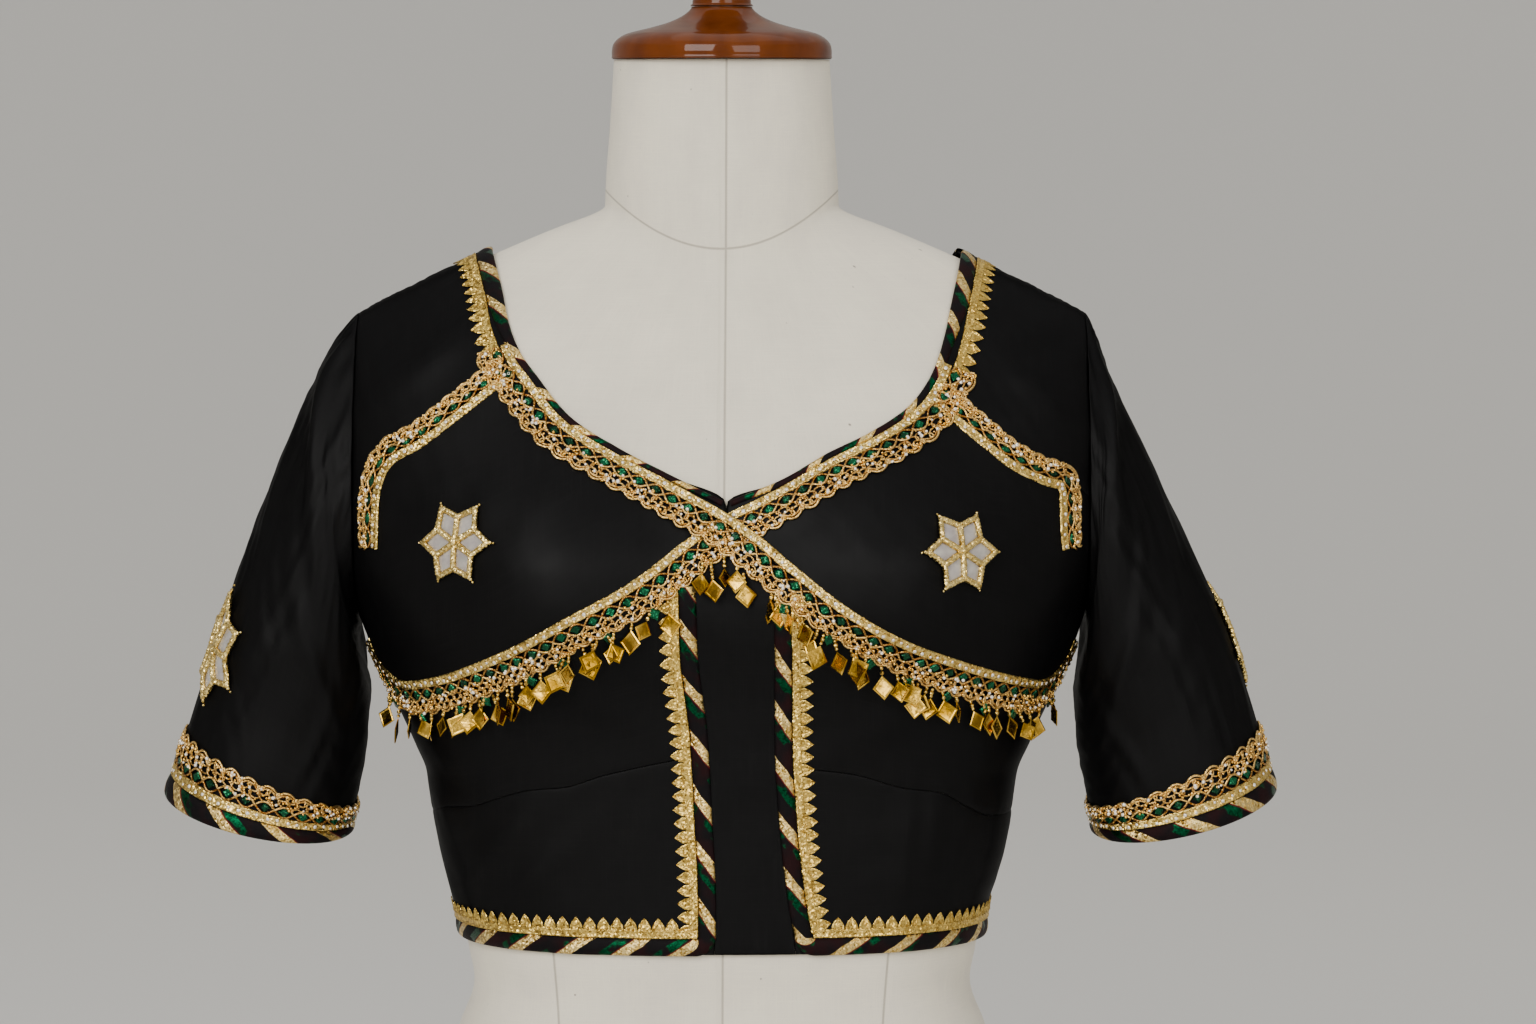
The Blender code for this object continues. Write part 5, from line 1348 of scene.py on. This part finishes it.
def gilt_plate():
    """A diamond with a raised rim and a slightly hollow middle on each face, so that it catches the
    light along its edges. Its top corner is at the middle of the shape's own frame."""
    rim = np.array([(0, 0), (0.5, -0.5), (0, -1), (-0.5, -0.5)])
    middle = np.array([0, -0.5])
    rows = []
    for share, y in ((1.0, -0.3), (1.0, 0.3), (0.86, 0.62), (0.72, 0.30), (0.0, 0.12)):
        x, z = (middle + (rim - middle) * share).T
        rows.append(np.column_stack([x, np.full(4, y), z]))
    back = [row * (1, -1, 1) for row in rows[2:]]
    points = np.vstack(rows[:4] + [rows[4][:1]] + back[:2] + [back[2][:1]])
    faces = []
    for low, high in ((0, 4), (4, 8), (8, 12)):
        faces += [[low + k, high + k, high + (k + 1) % 4, low + (k + 1) % 4] for k in range(4)]
    faces += [[12 + k, 16, 12 + (k + 1) % 4] for k in range(4)]
    for low, high in ((0, 17), (17, 21)):
        faces += [[low + k, low + (k + 1) % 4, high + (k + 1) % 4, high + k] for k in range(4)]
    faces += [[21 + k, 21 + (k + 1) % 4, 25] for k in range(4)]
    return points, faces


def hung(roots, facing, turns, leans, long, scale):
    """Plates on bead strings. Each hangs from its root, turned about its string, leaning sideways in
    its own plane and standing a little off the cloth."""
    plate_points, plate_faces = gilt_plate()
    ball_points, ball_faces = ball()
    plates, strings = [], []
    for root, face, turn, lean, drop, size in zip(roots, facing, turns, leans, long, scale):
        side = math.atan2(face[0], -face[1]) + turn
        ahead = np.array([math.sin(side), -math.cos(side), 0])
        right = np.array([math.cos(side), math.sin(side), 0])
        down = unit(np.array([0, 0, -1.0]) + right * math.sin(lean) + unit(face * (1, 1, 0)) * 0.12)
        right = unit(np.cross(down, ahead))
        ahead = np.cross(right, down)
        count = max(2, round(drop / (STRING_BEAD * 1.7)))
        for k in range(count):
            middle = root + down * drop * (k + 0.4) / count
            bead = ball_points * STRING_BEAD * (0.85 + 0.2 * (k % 2)) + middle
            strings.append((bead, ball_faces, np.full((len(ball_points), 2), 0.5)))
        sized = plate_points * (PLATE_WIDE * size, PLATE_THICK, PLATE_TALL * size)
        points = root + down * drop + sized[:, :1] * right + sized[:, 1:2] * ahead - sized[:, 2:] * down
        plates.append((points, plate_faces, plate_points[:, (0, 2)]))
    return heaped(plates), heaped(strings)


def gilt(name):
    """Gilt brass sheet with soft dents, some of it more tarnished than the rest."""
    look, shader = material(name, 0.2, 1.0)
    tree = look.node_tree
    place = node(tree, "ShaderNodeTexCoord").outputs["Object"]
    dents = node(tree, "ShaderNodeTexNoise", Vector=place, Scale=210.0, Detail=2.0)
    cloud = node(tree, "ShaderNodeTexNoise", Vector=place, Scale=900.0, Detail=3.0)
    tarnish = node(tree, "ShaderNodeTexNoise", Vector=place, Scale=75.0, Detail=1.0)
    bright = shades(tree, cloud.outputs[0], (0.52, 0.28, 0.02), (0.93, 0.61, 0.11))
    base = shades(tree, ramp(tree, tarnish.outputs[0], 0.45, 0.6), bright, (0.26, 0.135, 0.004))
    tree.links.new(base, shader.inputs["Base Color"])
    tree.links.new(ramp(tree, cloud.outputs[0], 0.3, 0.7, 0.14, 0.30), shader.inputs["Roughness"])
    raise_by(tree, shader, dents.outputs[0], 1.0, 0.35)
    return look


gilded = gilt("gilt_plates")
string_gold = gold_glitter("bead_strings", (0.34, 0.18, 0.012), (0.96, 0.69, 0.2), 0.9, 0.26)
spin = np.random.default_rng(7)
for way, word in ((-1, "left"), (1, "right")):
    path = crossing_path(-way)
    path = path[(path[:, 0] * way > 36) & (path[:, 0] * way < 177)]
    bed, length = body_bed(path, -way)
    along = np.arange(0.75, length - 1.5, PLATE_PITCH)
    pairs = spin.uniform(0, 1, len(along)) < 0.5
    along = np.concatenate([along, along[pairs] + 3.4])
    roots, facing = bed(along, LACE - 0.6, 1.6)
    count = len(along)
    lots = hung(
        roots, facing, spin.uniform(-0.85, 0.85, count), spin.uniform(-0.55, 0.55, count),
        STRING_LONG + spin.uniform(-1.6, 2.6, count), spin.uniform(0.82, 1.06, count))
    plates = hold(f"plates_{word}", *lots[0][:2], gilded, "gilt_plates", smooth_faces=False)
    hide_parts(f"fringe_{word}")
    hold(f"plate_strings_{word}", *lots[1][:2], string_gold, "gilt_plates")
    ends = np.arange(8.0, length - 6, 26.0)
    ends += spin.uniform(-5, 5, len(ends))
    lot = planted(
        stone(), bed, ends, LACE + 1.4 + 0 * ends, 1.0 + 0 * ends, np.tile([3.3, 3.6, 1.8], (len(ends), 1)),
        spin.uniform(0, 1, len(ends)), spin.uniform(-0.5, 0.5, len(ends)))
    hold(f"edge_stones_{word}", *lot[:2], emerald, "beaded_lace", lot[2], smooth_faces=False)

# Two small clusters of plates hang below the point where the laces cross.
# Rows: x, z, turn, lean, string length, size
CLUSTER = [
    (-9, 459, 0.35, -0.10, 5.4, 0.92), (-5, 461, -0.5, 0.12, 11.0, 0.95), (2, 464, 0.9, 0.05, 8.4, 0.8),
    (9, 458, -0.2, -0.06, 3.0, 0.95), (12, 454, 0.45, 0.14, 5.4, 1.0),
]
spots = np.array(CLUSTER)
points = on_figure(spots[:, 0], spots[:, 1], FRONT)
lots = hung(laid(points, 3.4), outward(points), *(spots[:, k] for k in (2, 3, 4, 5)))
hold("plates_middle", *lots[0][:2], gilded, "gilt_plates", smooth_faces=False)
hold("plate_strings_middle", *lots[1][:2], string_gold, "gilt_plates")

# The studio
# A pale floor that rises behind into a plain wall, and three large soft lights.
STUDIO = (0.71, 0.70, 0.672)
FLOOR_RADIUS, WALL_RADIUS, WALL_HEIGHT = 3.0, 7.6, 5.0


def plain_backdrop():
    """A disc whose rim turns up in a quarter ellipse and goes on as a round wall."""
    look, shader = material("backdrop_paper", 0.95, Specular_IOR_Level=0.1)
    shader.inputs["Base Color"].default_value = (*STUDIO, 1)
    bend = np.linspace(0, math.pi / 2, 24)
    rise = WALL_RADIUS - FLOOR_RADIUS
    r = np.concatenate([[0.5, 1, 1.8], FLOOR_RADIUS + rise * np.sin(bend), [WALL_RADIUS]])
    z = np.concatenate([[0, 0, 0], rise * (1 - np.cos(bend)), [WALL_HEIGHT]])
    turn = np.linspace(0, 2 * math.pi, 96, endpoint=False)
    grid = np.stack([r[:, None] * np.cos(turn), r[:, None] * np.sin(turn), z[:, None] + 0 * turn], -1)
    mesh = bpy.data.meshes.new("backdrop")
    faces = quads(len(r), 96, ring=True)[:, ::-1].tolist() + [list(range(96))]
    mesh.from_pydata(grid.reshape(-1, 3).tolist(), [], faces)
    mesh.materials.append(look)
    mesh.shade_smooth()
    made = bpy.data.objects.new("backdrop", mesh)
    bpy.context.scene.collection.objects.link(made)


def soft_light(name, place, size, power, colour=(1.0, 0.985, 0.96)):
    """A square area light that faces the middle of the blouse."""
    light = bpy.data.lights.new(name, "AREA")
    light.shape, light.size, light.energy, light.color = "SQUARE", size, power, colour
    made = bpy.data.objects.new(name, light)
    made.location = place
    facing = unit(np.array([0, 0, 0.45]) - np.array(place, float))
    made.rotation_euler = (math.acos(-facing[2]), 0, math.atan2(facing[1], facing[0]) - math.pi / 2)
    bpy.context.scene.collection.objects.link(made)


plain_backdrop()
soft_light("window", (-1.4, -3.2, 1.9), 2.0, 112)
soft_light("fill", (1.6, -3.2, 1.45), 1.8, 50)
soft_light("overhead", (0.2, 0.4, 3.4), 3.0, 16)
world = bpy.data.worlds.new("studio_air")
world.use_nodes = True
world.node_tree.nodes["Background"].inputs["Color"].default_value = (1.0, 0.985, 0.96, 1)
world.node_tree.nodes["Background"].inputs["Strength"].default_value = 0.64
bpy.context.scene.world = world
